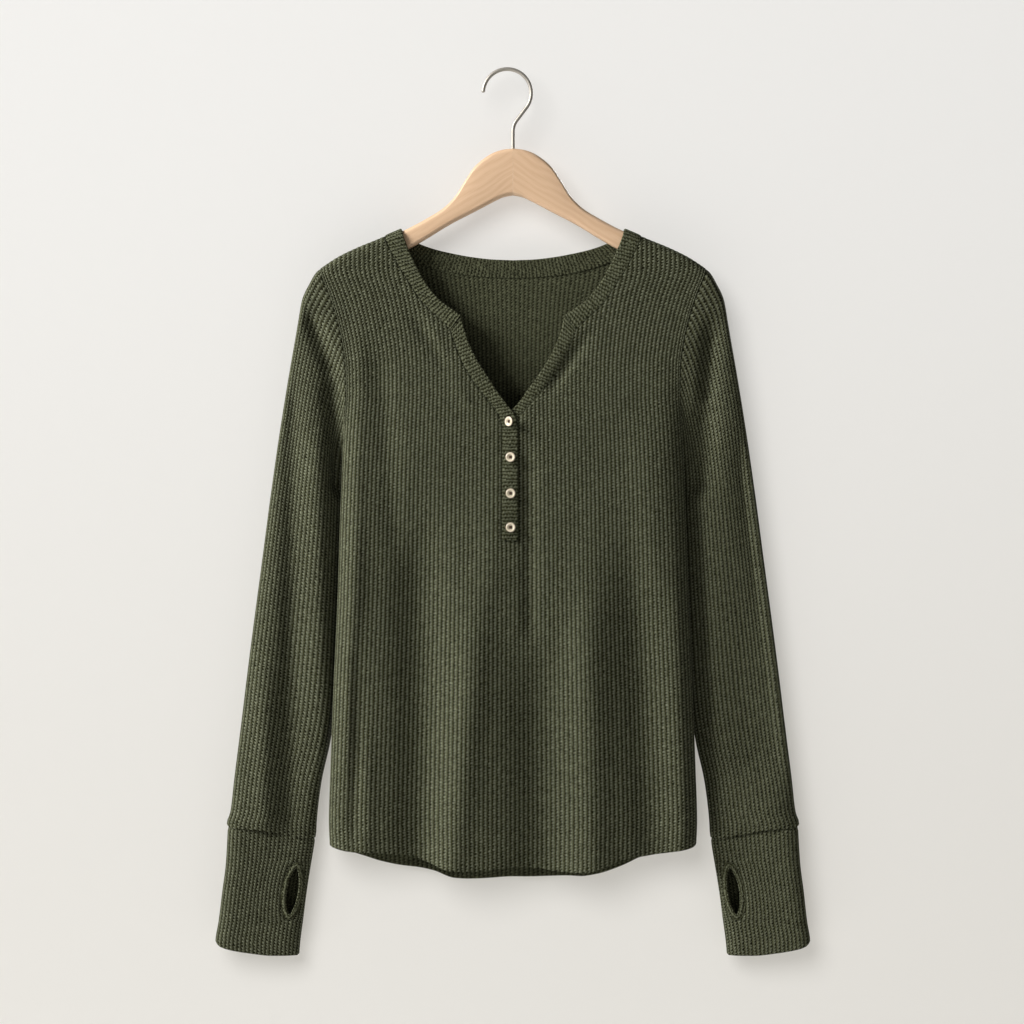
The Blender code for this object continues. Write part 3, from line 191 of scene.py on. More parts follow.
PLACKET_TOP = chart(
    Strip,
    (-63, -259.4, -52.1, -244.8, 0.3),
    (-60.6, -266.5, -48.8, -257.6, 0.3),
    (-55.9, -279.3, -42.9, -274.6, 0.3),
    (-49, -295, -35.4, -289.6, 0.3),
    (-39.8, -310, -26.8, -303.2, 0.3),
    (-28.6, -325, -15.6, -320.6, 0.4),
    (-19, -337, -5.4, -334.6, 1),
    (-12.8, -347.6, 2.4, -345, 1),
    (-10.9, -357, 4.6, -355.5, 1))
PLACKET_UNDER = chart(
    Strip,
    (63, -259.4, 51, -245.4, 0.3),
    (60.3, -266.5, 48.6, -257.8, 0.3),
    (55, -280, 42.4, -275, 0.3),
    (48, -294.5, 34.6, -290.2, 0.3),
    (38.8, -308.5, 26.2, -303.4, 0.3),
    (27, -323.2, 15.2, -318.4, -0.5),
    (15.5, -335.6, 5.2, -332.4, -1.25),
    (7.6, -345.5, -6.2, -344.5, -1.25),
    (5.3, -352, -9.6, -351, -1.25))
PLACKET_CLOSED_TOP = 1.0   # how far the closed strips lie in front of the panel's face
PLACKET_CLOSED_UNDER = -1.25

FRONT_FOLDS = chart(
    Fold,
    (-160, -395, -170, -690, 12.5, 7.2, 110),
    (-156, -520, -158, -760, 8, -3, 90),
    (-145, -630, -147, -830, 9, 2.6, 90),
    (-94, -385, -91, -840, 26, -12, 150),
    (-28, -470, -68, -840, 18, 8.5, 150),
    (-20, -540, -38, -840, 30, 5, 120),
    (29, -500, 29, -840, 27, -9, 150),
    (73, -450, 79, -840, 19, 7, 150),
    (116, -420, 144, -840, 20, -8.5, 150),
    (170, -390, 182, -840, 12, 5, 120),
    (-156, -250, -158, -430, 8, 2.6, 40),
    (-134, -260, -118, -470, 12, -3, 50),
    (-113, -225, -62, -300, 9, -3, 45),
    (-97, -225, -46, -330, 8, 2, 45),
    (87, -245, 38, -318, 8, -3.6, 45),
    (14, -345, 17, -560, 8, -3.6, 60),
    (-20, -390, -22, -520, 16, 2, 70),
    (133, -330, 140, -520, 15, 2.6, 70))
BACK_FOLDS = chart(
    Fold,
    (-100, -380, -108, -840, 19, -6, 150),
    (-55, -430, -42, -850, 18, 6, 150),
    (4, -330, 14, -850, 17, -6.5, 150),
    (52, -450, 62, -850, 17, 6.5, 150),
    (112, -400, 104, -840, 18, -6, 150),
    (-150, -520, -146, -830, 13, 3, 120))
LEFT_SLEEVE_FOLDS = chart(
    Fold,
    (-206, -236, -182, -300, 9, -7.5, 20),
    (-183, -290, -174, -420, 9, -8.5, 30),
    (-196, -340, -189, -750, 12, 7, 60),
    (-220, -290, -223, -760, 11, -5.5, 60),
    (-248, -560, -249, -760, 10, 3.5, 80))
RIGHT_SLEEVE_FOLDS = chart(
    Fold,
    (199, -240, 193, -330, 9, -7.5, 30),
    (193, -320, 186, -420, 12, -7.5, 30),
    (184, -400, 190, -720, 12, -2.5, 60),
    (232, -330, 249, -700, 30, -8.5, 90))

HANGER = chart(
    Arm,
    (0, -77.6, -124.5, 5.6), (9, -78.6, -126.2, 5.6), (18, -81.2, -130.2, 5.6),
    (27.5, -86.6, -135.2, 5.6), (38.5, -96, -141, 5.6), (47.5, -109, -145.6, 5.6),
    (58, -125.6, -151, 5.6), (70.5, -138, -158.2, 5.6), (84, -146.4, -166.6, 5.6),
    (106, -158.2, -179, 5.6), (130, -168.4, -189, 5.6), (155, -178.9, -198.4, 5.3),
    (174, -188.6, -205.4, 4.6), (183, -195.2, -207.4, 3.8), (187, -199.6, -206, 3.2))
HANGER_EDGE = 4.5          # radius of its rounded edges
ARMS_GAP = 0.06            # glued joint between its arms
CORNER_STEPS = 6           # faces round a quarter of an edge
GRAIN_COS, GRAIN_SIN = 0.85, 0.53   # of the slant of the grain to the arm
GRAIN_APART = 400.0        # so that the two arms are cut from different wood
WIRE = 3.8
HOOK_STEM_FOOT_Z = -97.0
HOOK_BORE = 4.7
HOOK_RADIUS = 24.0
HOOK_NECK_ANGLE = -37.0    # degrees round the crown at which the neck leaves it
HOOK_TIP_ANGLE = 175.0     # and at which it ends
HOOK_NECK_BEND = 6.0       # length of either leg of the bend above the stem

BUTTONS = chart(
    Button,
    (-4, -350.9, 38), (-2.5, -386.3, 8), (-2.3, -422.4, 0), (-2.3, -456.2, 0))
BUTTON_RADIUS = 5.1
BUTTON_THICK = 2.2
BUTTON_WELL_RADIUS = 2.5
BUTTON_WELL_DEPTH = 0.7
BUTTON_HOLE_RADIUS = 0.6
BUTTON_HOLE_OUT = 1.4
BUTTON_SEAT = 0.4          # between its back and the placket
# Button profiles as shares of its radius and half thickness, and in its well in mm of lift.
BUTTON_BACK = ((0.0, 1.0), (0.6, 1.0), (0.82, 0.82), (0.94, 0.45))
BUTTON_TOUCH = ((0.7, 1.0), (0.93, 0.55), (1.0, -0.1))     # points of it that touch first
BUTTON_WELL = ((0.93, -0.12), (0.8, 0.0), (0.4, 0.03), (0.0, 0.0))
STITCHES = ((0, 2, 0.30), (1, 3, 0.52))     # from hole, to hole, lift
STITCH_ASIDE = 0.16        # of a strand from the middle of its pair
STITCH_RADIUS = 0.17
STITCH_END = 1.2           # how deep a strand goes into its hole

# ---- sizes of the knit (mm)

BODY_RIBS = 86             # ribs across the front, and across the back
SLEEVE_RIBS = 46           # ribs round a sleeve and round a cuff
BAND_PITCH = 3.5           # of the ribs that cross the neckband and the placket
RIB_DEPTH = 0.34           # from a rib's crest to the groove beside it
INNER_DEPTH = 0.35         # the same on the knit's inner face
PER_RIB = 4                # columns of mesh to a rib
RIB_LEVEL = -450.0         # the level on which the body's ribs are evenly spread
WAFFLE = 3.0               # length of one cell of the waffle along a rib
SEAM_SINK = 0.75           # how deep a sewn edge sinks
SEAM_REACH = 3.2           # how far from the edge it starts to sink
ALLOWANCE = 3.2            # seam allowance that lies under the panel beside a band or sleeve
ALLOWANCE_TOP, ALLOWANCE_FOOT = -1.7, -2.45
EDGE_ROLL = 1.3            # a free edge is rounded over this length
EDGE_ROUND = 0.42          # and by this share of its wall on either face
UNEVEN = 0.35              # height of the cloth's slight unevenness
SLEEVE_UNEVEN = 1.3        # times that on a sleeve
CUFF_UNEVEN = 0.8          # and on a cuff
BACK_SHIFT = 60.0          # moves the unevenness of a sleeve's back half away from the front's
CALM_SEAM = 12.0           # length beside a seam in which folds and unevenness begin
FOLD_FOOT = 0.6            # how long a fold's foot takes to end, as a share of its fade
FOLD_REACH = 1.2           # how far past its foot a fold keeps its slant, as a share of its length
FOLD_SIDE = 26.0           # width beside the side seam in which folds begin
SLOT_SINK_Z = -345.0       # the front sinks beside the placket's slot below this level
BAND_SWELL = 0.25          # how far a band's ribs rise above its solid
BAND_RISE = 2.0            # over this width beside its seam
BAND_SINK = 0.8            # how much of a sewn edge's sinking a band has
BAND_ROUND = 1.2           # and of a free edge's rounding, on its face
BAND_END_ROUND = 0.12      # the same at its two ends
ALLOWANCE_END = 4.0        # length at a band's ends over which its allowance narrows
THUMB_FIRST_RIB, THUMB_RIBS = 0.15, 1.7    # of the ribs that run round a thumb band
ALLOWANCE_FADE = 8.0       # an armhole thinner than this has less allowance
ARMHOLE_SPREAD = 0.72      # share by which the ribs leave a sleeve's top closer than its foot
TINY = 0.02
CLOTH_CREASE = 65.0        # degrees up to which the mesh is shaded smooth

WRAP_PLACES = (0.0, 0.6, 1.3, 2.2, 3.3, 4.6, 6.1, 7.8, 9.8, 12.2, 15.0)
CHEST_ROWS = 38
PLACKET_ROWS = 20
SKIRT_ROWS = 66
WRAP_SHARE = 0.4           # most of a rib's chest that the wrap's rows take up
HEM_PLACES = (1.4, 0.5, 0.0)
CAP_ROWS = 46
ARM_ROWS = 72
CUFF_TOP_ROWS = 9
CUFF_FOOT_ROWS = 10
THUMB_ROWS = 28
TUBE_POINTS = 240          # along half of a tube's section
CAP_FIRST, CAP_CROWDED = 0.004, 1.15   # share of a rib at the first row, and how rows crowd to it
SLEEVE_END = (0.996, 0.9985, 1.0)      # the last rows before a seam or end, as shares
CUFF_START = (0.0, 0.012)
CUFF_LAST = (0.965, 0.988, 1.0)
BAND_STATIONS = (0.0, 0.035, 0.09, 0.16, 0.3, 0.45, 0.6, 0.75, 0.86, 0.93, 0.975, 1.0)
THUMB_STATIONS = np.array([0.0, 0.06, 0.15, 0.28, 0.42, 0.52, 0.62, 0.76, 0.88, 0.96, 1.0])
# Heights at which the body's ribs are placed, close together beside neck and armhole.
LEVELS = -np.concatenate([np.linspace(150.0, 400.0, 126), np.linspace(404.0, 816.0, 104)])
THUMB_CUT = 0.75           # share of a rib's bend round the thumbhole that cuts it off instead

# ---- curves


def smooth(rows, column, at):
    """One column of a chart at the places `at`, on a curve without overshoot through its rows."""
    places, values = np.array(sorted((row[0], getattr(row, column)) for row in rows)).T
    steps = np.diff(places)
    slopes = np.diff(values) / steps
    before, after = slopes[:-1], slopes[1:]
    same_way = before * after > 0
    together = np.where(same_way, before + after, 1.0)
    inner = np.where(same_way, 2.0 * before * after / together, 0.0)
    tangents = np.concatenate([slopes[:1], inner, slopes[-1:]])
    at = np.clip(np.asarray(at, float), places[0], places[-1])
    k = np.clip(np.searchsorted(places, at, side="right") - 1, 0, len(steps) - 1)
    t = (at - places[k]) / steps[k]
    rise = (t * (1.0 - t) ** 2 * tangents[k] - t * t * (1.0 - t) * tangents[k + 1]) * steps[k]
    return values[k] + (values[k + 1] - values[k]) * ease(t) + rise


def columns(rows, names, at):
    return [smooth(rows, name, at) for name in names]


def arch(t):
    return np.sqrt(np.maximum(1.0 - (1.0 - np.clip(t, 0.0, 1.0)) ** 2, 0.0))


def ease(t):
    t = np.clip(t, 0.0, 1.0)
    return t * t * (3.0 - 2.0 * t)


def half_turn(count):
    """Shares from 0 to 1, close together at both ends."""
    return 0.5 - 0.5 * np.cos(np.linspace(0.0, np.pi, count))


def unit(vectors):
    return vectors / np.linalg.norm(vectors, axis=-1, keepdims=True)


def run_along(*coordinates):
    """Length along a polyline, or along each column of a grid, at each of its points."""
    steps = np.sqrt(sum(np.diff(values, axis=0) ** 2 for values in coordinates))
    return np.concatenate([np.zeros_like(steps[:1]), np.cumsum(steps, axis=0)])


def columns_at(places, grid, at):
    """Reads each column of a grid, whose rows are at rising places, at its own column of `at`."""
    along = places if places.ndim == 2 else np.repeat(places[:, None], at.shape[1], axis=1)
    read = [np.interp(at[:, c], along[:, c], grid[:, c]) for c in range(at.shape[1])]
    return np.stack(read, axis=1)


def rib_profile(u):
    """Height of a rib, 1 on its crest (whole u) and 0 in the groove, which is narrow."""
    return 1.0 - (0.5 - 0.5 * np.cos(2.0 * np.pi * u)) ** 2


def outer_relief(u):
    return RIB_DEPTH * (rib_profile(u) - 1.0)


def inner_relief(u):
    return INNER_DEPTH * (1.0 - rib_profile(u + 0.5))


def sunk(distance):
    """How far a sewn edge sinks at a distance from its seam."""
    return SEAM_SINK * (1.0 - ease(distance / SEAM_REACH))


def rolled(distance, wall):
    """How far a free edge has rounded towards the middle of its wall."""
    return EDGE_ROUND * wall * (1.0 - arch(distance / EDGE_ROLL))


def unevenness(x, z):
    """Slight hollows and rises that cover the cloth: wide ones, and smaller ones on them."""
    wide = np.sin(x / 23.0 + 1.3 * np.sin(z / 61.0)) * np.sin(z / 47.0 + 0.8 * np.sin(x / 37.0))
    near = np.sin(x / 9.0 + z / 31.0 + 2.0 * np.sin(z / 83.0)) * np.sin(z / 19.0 - x / 40.0)
    return UNEVEN * (wide + 0.4 * near)


# ---- the body's form


def fold_height(folds, x, z):
    """Sum of the soft ridges and valleys at (x, z)."""
    height = np.zeros(np.broadcast(x, z).shape)
    for fold in folds:
        length = fold.top_z - fold.foot_z
        down = (fold.top_z - z) / length
        line = fold.top_x + (fold.foot_x - fold.top_x) * np.clip(down, 0.0, FOLD_REACH)
        begin = ease(down * length / fold.fade)
        end = ease(FOLD_FOOT + (1.0 - down) * length / (FOLD_FOOT * fold.fade))
        height += fold.height * begin * end * np.exp(-((x - line) / fold.spread) ** 2)
    return height


def body_width(z):
    return smooth(BODY_WIDTH, "value", z)


def shoulder_z(x):
    return smooth(SHOULDER_LINE, "z", np.abs(x))


def plain_depth(x, z):
    """The body's half depth, without its folds or its turn over the shoulder."""
    full = smooth(BODY_DEPTH, "value", z)
    edge = np.where(np.asarray(z) > ARMPIT_Z, smooth(ARMHOLE_DEPTH, "value", z), 0.0)
    inward = np.clip((body_width(z) - np.abs(x)) / SIDE_TURN, 0.0, 1.0)
    folded = ease((SIDE_FOLD_Z - z) / SIDE_FOLD_OVER)
    return edge + (full - edge) * (folded * arch(inward) + (1.0 - folded) * (2.0 - inward) * inward)


def body_depth(x, z, side):
    """How far the face of the front or back lies from the plane of the hanger."""
    over = arch((shoulder_z(x) - z) / SHOULDER_WRAP)
    folds = fold_height(FRONT_FOLDS if side == FORWARD else BACK_FOLDS, x, z)
    folds = (folds + unevenness(x, z * side)) * ease((body_width(z) - np.abs(x)) / FOLD_SIDE)
    return (plain_depth(x, z) + folds) * over


def body_points(x, z, side, proud=0.0):
    """Points on a panel's face, or `proud` of it along its normal."""
    depth = body_depth(x, z, side)
    inward = np.where(np.asarray(x) > 0.0, -TINY, TINY)
    slope_x = (body_depth(x + inward, z, side) - depth) / inward
    slope_z = (body_depth(x, z - TINY, side) - depth) / -TINY
    normals = unit(np.stack([-slope_x, np.full_like(slope_x, side), -slope_z], axis=-1))
    faces = np.stack([x + 0.0 * depth, side * (depth + 0.5 * SEAM), z + 0.0 * depth], axis=-1)
    points = faces + normals * np.asarray(proud)[..., None]
    points[..., 1] = side * np.maximum(side * points[..., 1], 0.5 * SEAM + TINY)
    return points


def neckline_z(x, side):
    """Height of a panel's top at x: its neckline, or the shoulder line beyond the neckband."""
    front = side == FORWARD
    seam = [Across(row.seam_x, row.seam_z) for row in (NECK_FRONT if front else NECK_BACK)]
    seam.append(Across(NECK_SIDE_X, float(shoulder_z(NECK_SIDE_X))))
    strips = (PLACKET_TOP[1:], PLACKET_UNDER[1:]) if front else ([], [])
    left, right = (
        smooth(seam + [Across(abs(row.seam_x), row.seam_z) for row in strip], "z", np.abs(x))
        for strip in strips)
    return np.where(np.abs(x) >= NECK_SIDE_X, shoulder_z(x), np.where(x < 0.0, left, right))


def rib_spread():
    """Places out along half of a panel's section, as shares of its width and of its cloth."""
    x = 1.0 - np.linspace(1.0, 0.0, 160) ** 2
    width = float(body_width(RIB_LEVEL))
    run = run_along(x * width, plain_depth(x * width, np.full_like(x, RIB_LEVEL)))
    return x, run / run[-1]


def share_at(x, z):
    """Names a rib by how far out along the cloth (x, z) is: 0 in the middle, 1 at the side."""
    places, cloth = rib_spread()
    return float(np.sign(x) * np.interp(abs(x) / float(body_width(z)), places, cloth))


def rib_lines(shares):
    """x of each rib on each of LEVELS."""
    places, cloth = rib_spread()
    across = np.interp(np.abs(shares), cloth, places) * np.sign(shares)
    return body_width(LEVELS)[:, None] * across


def ribs_at(lines, z):
    return columns_at(-LEVELS, lines, -z)


# ---- shells


def grid_cells(rows, columns, closed=False, skip=None):
    """Quads of a grid whose points are numbered row by row."""
    turns = columns if closed else columns - 1
    r, c = (index.ravel() for index in np.mgrid[: rows - 1, :turns])
    if skip is not None:
        kept = ~skip(r, c)
        r, c = r[kept], c[kept]
    d = (c + 1) % columns
    above, below = r * columns, (r + 1) * columns
    return np.stack([above + c, below + c, below + d, above + d], 1)


def capped(rings, sides, first=0):
    """Faces of a tube of rings of points, numbered from `first`, with its two flat ends."""
    last = (rings - 1) * sides
    ends = [range(sides), range(last + sides - 1, last - 1, -1)]
    cells = grid_cells(rings, sides, closed=True).tolist()
    return [tuple(first + k for k in face) for face in [*cells, *ends]]


def place(name, data):
    made = bpy.data.objects.new(name, data)
    bpy.context.scene.collection.objects.link(made)
    return made


def solid(name, points, faces, finish=(), crease=None):
    """A closed mesh of points in millimetres, facing outward, smooth up to the angle `crease`."""
    mesh = bpy.data.meshes.new(name)
    mesh.from_pydata((np.asarray(points) * MM).tolist(), [], faces)
    mesh.update()
    shape = bmesh.new()
    shape.from_mesh(mesh)
    if shape.calc_volume(signed=True) < 0.0:
        bmesh.ops.reverse_faces(shape, faces=shape.faces)
        shape.to_mesh(mesh)
    shape.free()
    mesh.shade_smooth()
    if crease:
        mesh.set_sharp_from_angle(angle=np.radians(crease))
    for side in finish:
        mesh.materials.append(side)
    return place(name, mesh)


def wall(name, outside, inside, cells, uv, finish, turns=0.0, mirror=1.0):
    """A closed shell between two sheets of points that share `cells`, with the knit's own
    coordinates: ribs across and waffle cells along. `turns` is the ribs all round a tube."""
    used, cells = np.unique(cells, return_inverse=True)
    cells, count = cells.reshape(-1, 4), len(used)
    outside, inside, uv = (v.reshape(-1, v.shape[-1])[used] for v in (outside, inside, uv))
    edges = np.concatenate([cells[:, [k, (k + 1) % 4]] for k in range(4)])
    edges = edges[edges[:, 0] != edges[:, 1]]
    start, end = edges[~np.isin(edges @ [count, 1], edges @ [1, count])].T
    rims = np.stack([end, start, count + start, count + end], 1)
    faces = np.concatenate([cells, count + cells[:, ::-1], rims])
    points = np.concatenate([outside, inside]) * [mirror, 1.0, 1.0] + [CENTRE_X, 0.0, 0.0]
    faces = [tuple(dict.fromkeys(face)) for face in faces.tolist()]
    made = solid(name, points, faces, finish, CLOTH_CREASE)
    mesh = made.data
    corners = np.zeros(len(mesh.loops), int)
    mesh.loops.foreach_get("vertex_index", corners)
    along = np.concatenate([uv, uv])[corners]
    if turns:
        starts = np.zeros(len(mesh.polygons), int)
        mesh.polygons.foreach_get("loop_start", starts)
        highest = np.maximum.reduceat(along[:, 0], starts)
        sizes = np.diff(np.append(starts, len(corners)))
        crossing = np.repeat(highest, sizes) - along[:, 0] > 0.5 * turns
        along[crossing, 0] += turns
    layer = mesh.uv_layers.new(name="Knit")
    layer.data.foreach_set("uv", along.astype(np.float32).ravel())
    sides = np.zeros(len(mesh.polygons), int)
    sides[len(cells) : 2 * len(cells)] = 1
    mesh.polygons.foreach_set("material_index", sides)
    return made


def put_on(piece, slot, *nodes):
    """The piece rides with the object's one body and stands for its solids."""
    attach(piece, "root")
    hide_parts(*nodes)


# ---- front and back


def panel_places(lines, tops, feet, side):
    """Rows down every rib of a panel: x, z, and the length of cloth from the armpit's level,
    from the rib's top and from its foot."""
    z = tops + (feet - tops) * np.linspace(0.0, 1.0, 600)[:, None] ** 2
    x = ribs_at(lines, z)
    run = run_along(x, body_depth(x, z, side), z)
    chest, placket = columns_at(-z, run, -np.array([[ARMPIT_Z], [PLACKET_FOOT_Z]]) + 0.0 * z[:2])
    total = run[-1]
    wrap = np.minimum(WRAP_PLACES[-1], WRAP_SHARE * chest)
    rows = [along / WRAP_PLACES[-1] * wrap for along in WRAP_PLACES]
    for start, end, count in (
            (wrap, chest, CHEST_ROWS), (chest, placket, PLACKET_ROWS),
            (placket, total - HEM_PLACES[0], SKIRT_ROWS)):
        rows += list(np.linspace(start, end, count + 1)[1:])
    rows = np.array(rows + [total - short for short in HEM_PLACES[1:]])
    z = columns_at(run, z, rows)
    return ribs_at(lines, z), z, rows - chest, rows, total - rows


def meet(edge_z, lines, start, rounds):
    """Height at which each rib meets an edge, found from a rough height in some rounds."""
    z = np.full(lines.shape[1], start)
    for _ in range(rounds):
        z = edge_z(ribs_at(lines, z[None])[0])
    return z


def build_panel(name, side, finish):
    hem = FRONT_HEM if side == FORWARD else BACK_HEM
    shares = np.linspace(-1.0, 1.0, BODY_RIBS * PER_RIB + 1)
    slot_ends = [share_at(row.seam_x, row.seam_z) for row in (PLACKET_TOP[-1], PLACKET_UNDER[-1])]
    kept = [share_at(x, SHOULDER_TIP_Z) for x in (-NECK_SIDE_X, NECK_SIDE_X)]
    if side == FORWARD:
        corner = NECK_FRONT[0]
        kept += slot_ends + [share_at(x, corner.seam_z) for x in (-corner.seam_x, corner.seam_x)]
    for share in kept:
        shares[np.argmin(np.abs(shares - share))] = share
    lines = rib_lines(shares)
    tops = meet(lambda x: neckline_z(x, side), lines, -200.0, 40)
    feet = meet(lambda x: smooth(hem, "z", x), lines, -790.0, 20)
    x, z, along, from_top, from_foot = panel_places(lines, tops, feet, side)
    u = 0.5 * BODY_RIBS * shares + 0.0 * x
    sink = np.maximum(sunk((1.0 - np.abs(shares)) * body_width(z)), sunk(from_top))
    slot = np.array([], int)
    if side == FORWARD:
        left, right = (int(np.argmin(np.abs(shares - share))) for share in slot_ends)
        slot = np.arange(left, right)
        beside = np.maximum(x[:, [left]] - x, x - x[:, [right]])
        from_slot = np.hypot(np.maximum(beside, 0.0), np.maximum(PLACKET_FOOT_Z - z, 0.0))
        sink = np.where(z < SLOT_SINK_Z, np.maximum(sink, sunk(from_slot)), sink)
    roll = rolled(from_foot, CLOTH)
    outside = body_points(x, z, side, outer_relief(u) - sink - roll)
    inside = body_points(x, z, side, inner_relief(u) - CLOTH + roll)
    closed = len(WRAP_PLACES) - 1 + CHEST_ROWS + PLACKET_ROWS
    cells = grid_cells(*x.shape, skip=lambda r, c: np.isin(c, slot) & (r < closed))
    return wall(name, outside, inside, cells, np.stack([u, along / WAFFLE], -1), finish)


# ---- sleeves and cuffs
# A point round a sleeve or cuff is named by its way: 0 at the outer fold, 1 at the inner fold
# after the front half, 2 at the outer fold again after the back half. Both are made on the right
# and mirrored for the left.


def tube_loop(table, turn, z):
    """Closed section of a flattened tube: x, y, its normals, length run, and the front's length."""
    outer_x, inner_x, outer_y, inner_y, depth = columns(table, Tube._fields[1:], z)
    t = half_turn(TUBE_POINTS)
    x = outer_x + (inner_x - outer_x) * t
    chord = outer_y + (inner_y - outer_y) * t
    swell = depth * arch(np.minimum(t, 1.0 - t) * (outer_x - inner_x) / turn)
    x = np.concatenate([x, x[-2::-1]])
    y = np.concatenate([chord - swell, (chord + swell)[-2::-1]])
    run = run_along(x, y)
    across_x, across_y = (np.roll(v[:-1], -2) - np.roll(v[:-1], 2) for v in (x, y))
    size = np.hypot(across_x, across_y)
    normals = [np.append(v, v[0]) for v in (-across_y / size, across_x / size)]
    return x, y, *normals, run, run[TUBE_POINTS - 1]


def run_to(ways, run, front):
    """Length run round a tube's section to each way."""
    return np.where(ways <= 1.0, ways * front, front + (ways - 1.0) * (run[-1] - front))


def tube_at(table, turn, ways, z, shift=0.0):
    """x, y and normal of a tube at its ways on one level, each shifted round it."""
    *section, run, front = tube_loop(table, turn, z)
    placed = (run_to(ways, run, front) + shift) % run[-1]
    return np.array([np.interp(placed, run, values) for values in section])


def tube_grid(table, turn, ways):
    """The tube on many levels, rising: heights, and x, y and normals for each level and way."""
    levels = np.linspace(table[-1].z, table[0].z, 70)
    return levels, np.array([tube_at(table, turn, ways, z) for z in levels]).transpose(1, 0, 2)


def seam_height(seam, x):
    """Height at x of a seam's chart, or of a level."""
    return smooth(seam, "z", x) if isinstance(seam, list) else seam


def between_seams(levels, grids, upper, lower, shares):
    """Points and normals of a tube on rows spread by `shares` between two slanting seams."""
    middle = 0.5 * (levels[0] + levels[-1])
    z = np.full((len(shares), grids[0].shape[1]), middle)
    for _ in range(12):
        x = columns_at(levels, grids[0], z)
        top, foot = seam_height(upper, x), seam_height(lower, x)
        z = top + (foot - top) * np.asarray(shares)[:, None]
    x, y, normal_x, normal_y = (columns_at(levels, grid, z) for grid in grids)
    return np.stack([x, y, z, normal_x, normal_y, 0.0 * z], -1)


def armhole_points(ways, inward=0.0, proud=0.0):
    """Points of the armhole seam, front down from the shoulder tip and back up again, or points
    that lie `inward` of it on the body and `proud` of its face."""
    z = SHOULDER_TIP_Z + (ARMPIT_Z - SHOULDER_TIP_Z) * half_turn(TUBE_POINTS)
    fade = np.clip(smooth(ARMHOLE_DEPTH, "value", z) / ALLOWANCE_FADE, 0.0, 1.0)
    share = np.minimum(ways, 2.0 - ways)
    share = share * (ARMHOLE_SPREAD + (1.0 - ARMHOLE_SPREAD) * share)
    sides = []
    for side in (FORWARD, BACKWARD):
        run = run_along(*body_points(body_width(z), z, side).T)
        curve = body_points(body_width(z) - inward * fade, z, side, proud + 0.0 * z)
        sides.append(np.stack([np.interp(share * run[-1], run, values) for values in curve.T], -1))
    return np.where((ways <= 1.0)[:, None], *sides)


def cap_rings(ways, steps):
    """Rings of the sleeve's cap: its ribs leave the armhole seam slanting outward and turn down
    the sleeve, to the level CAP_END_Z."""
    start = armhole_points(ways)
    x, y, _, _ = tube_at(SLEEVE, SLEEVE_TURN, ways, CAP_END_Z)
    end = np.stack([x, y, np.full_like(x, CAP_END_Z)], -1)
    share = np.minimum(ways, 2.0 - ways)
    tucked = CAP_TUCK * ease((share - CAP_TUCK_FROM) / (1.0 - CAP_TUCK_FROM))
    lean = np.radians(CAP_LEAN_TOP + (CAP_LEAN_FOOT - CAP_LEAN_TOP) * share - tucked)
    leave = np.stack([np.sin(lean), CAP_BACKWARD * share**3, -np.cos(lean)], -1)
    arrive = np.stack([CAP_FLARE - CAP_FLARE_LESS * share, 0.0 * share, -1.0 + 0.0 * share], -1)
    length = np.linalg.norm(end - start, axis=1, keepdims=True)
    t = steps[:, None, None]
    rings = (
        (2.0 * t**3 - 3.0 * t**2 + 1.0) * start
        + (t**3 - 2.0 * t**2 + t) * CAP_LEAVE * length * leave
        + (3.0 * t**2 - 2.0 * t**3) * end
        + (t**3 - t**2) * length * arrive
    )
    outward = smooth(CAP_OUTLINE, "value", rings[:, 0, 2]) - rings[:, 0, 0]
    rings[..., 0] += outward[:, None] * np.exp(-((share / CAP_EDGE_SHARE) ** 2))
    return rings


def ring_normals(rings):
    along = np.roll(rings, -1, axis=1) - np.roll(rings, 1, axis=1)
    return unit(np.cross(along, np.gradient(rings, axis=0)))


def build_sleeve(name, mirror, folds, finish):
    count = SLEEVE_RIBS * PER_RIB
    ways = 2.0 * np.arange(count) / count
    cap = cap_rings(ways, np.linspace(CAP_FIRST, 1.0, CAP_ROWS + 1) ** CAP_CROWDED)
    levels, grids = tube_grid(SLEEVE, SLEEVE_TURN, ways)
    shares = [*np.linspace(0.0, SLEEVE_END[0], ARM_ROWS)[1:], *SLEEVE_END[1:]]
    arm = between_seams(levels, grids, CAP_END_Z, CUFF_SEAM, shares)[..., :3]
    rings = np.concatenate([cap, arm])
    x, _, z = rings.transpose(2, 0, 1)
    run = run_along(*rings.transpose(2, 0, 1))
    flat = ease((1.0 - np.abs(2.0 * np.minimum(ways, 2.0 - ways) - 1.0)) * 3.0)
    height = fold_height(folds, mirror * x, z)
    height += SLEEVE_UNEVEN * unevenness(mirror * x + BACK_SHIFT * (ways > 1.0), z)
    height *= flat * ease(run / CALM_SEAM)
    folded = rings + ring_normals(rings) * height[..., None]
    normals = ring_normals(folded)
    u = 0.5 * SLEEVE_RIBS * ways + 0.0 * run
    below = run[-1] - run
    sink = np.maximum(sunk(run), sunk(below))
    outside = folded + normals * (outer_relief(u) - sink)[..., None]
    inside = folded + normals * (inner_relief(u) - CLOTH)[..., None]
    under, under_back = ([armhole_points(ways, inward, proud) for inward in (ALLOWANCE, 0.0)]
                         for proud in (ALLOWANCE_TOP, ALLOWANCE_FOOT))
    outside, inside = np.concatenate([under, outside]), np.concatenate([under_back, inside])
    uv = np.stack([u, below / WAFFLE], -1)[[0, 0, *range(len(u))]]
    cells = grid_cells(*uv.shape[:2], closed=True)
    return wall(name, outside, inside, cells, uv, finish, SLEEVE_RIBS, mirror)


def thumb_way():
    """Way round the cuff of the rib on which the thumbhole lies."""
    x, _, _, _, run, front = tube_loop(CUFF, CUFF_TURN, THUMB_TOP_Z)
    return float(np.interp(-THUMB_X, -x[:TUBE_POINTS], run[:TUBE_POINTS]) / front)


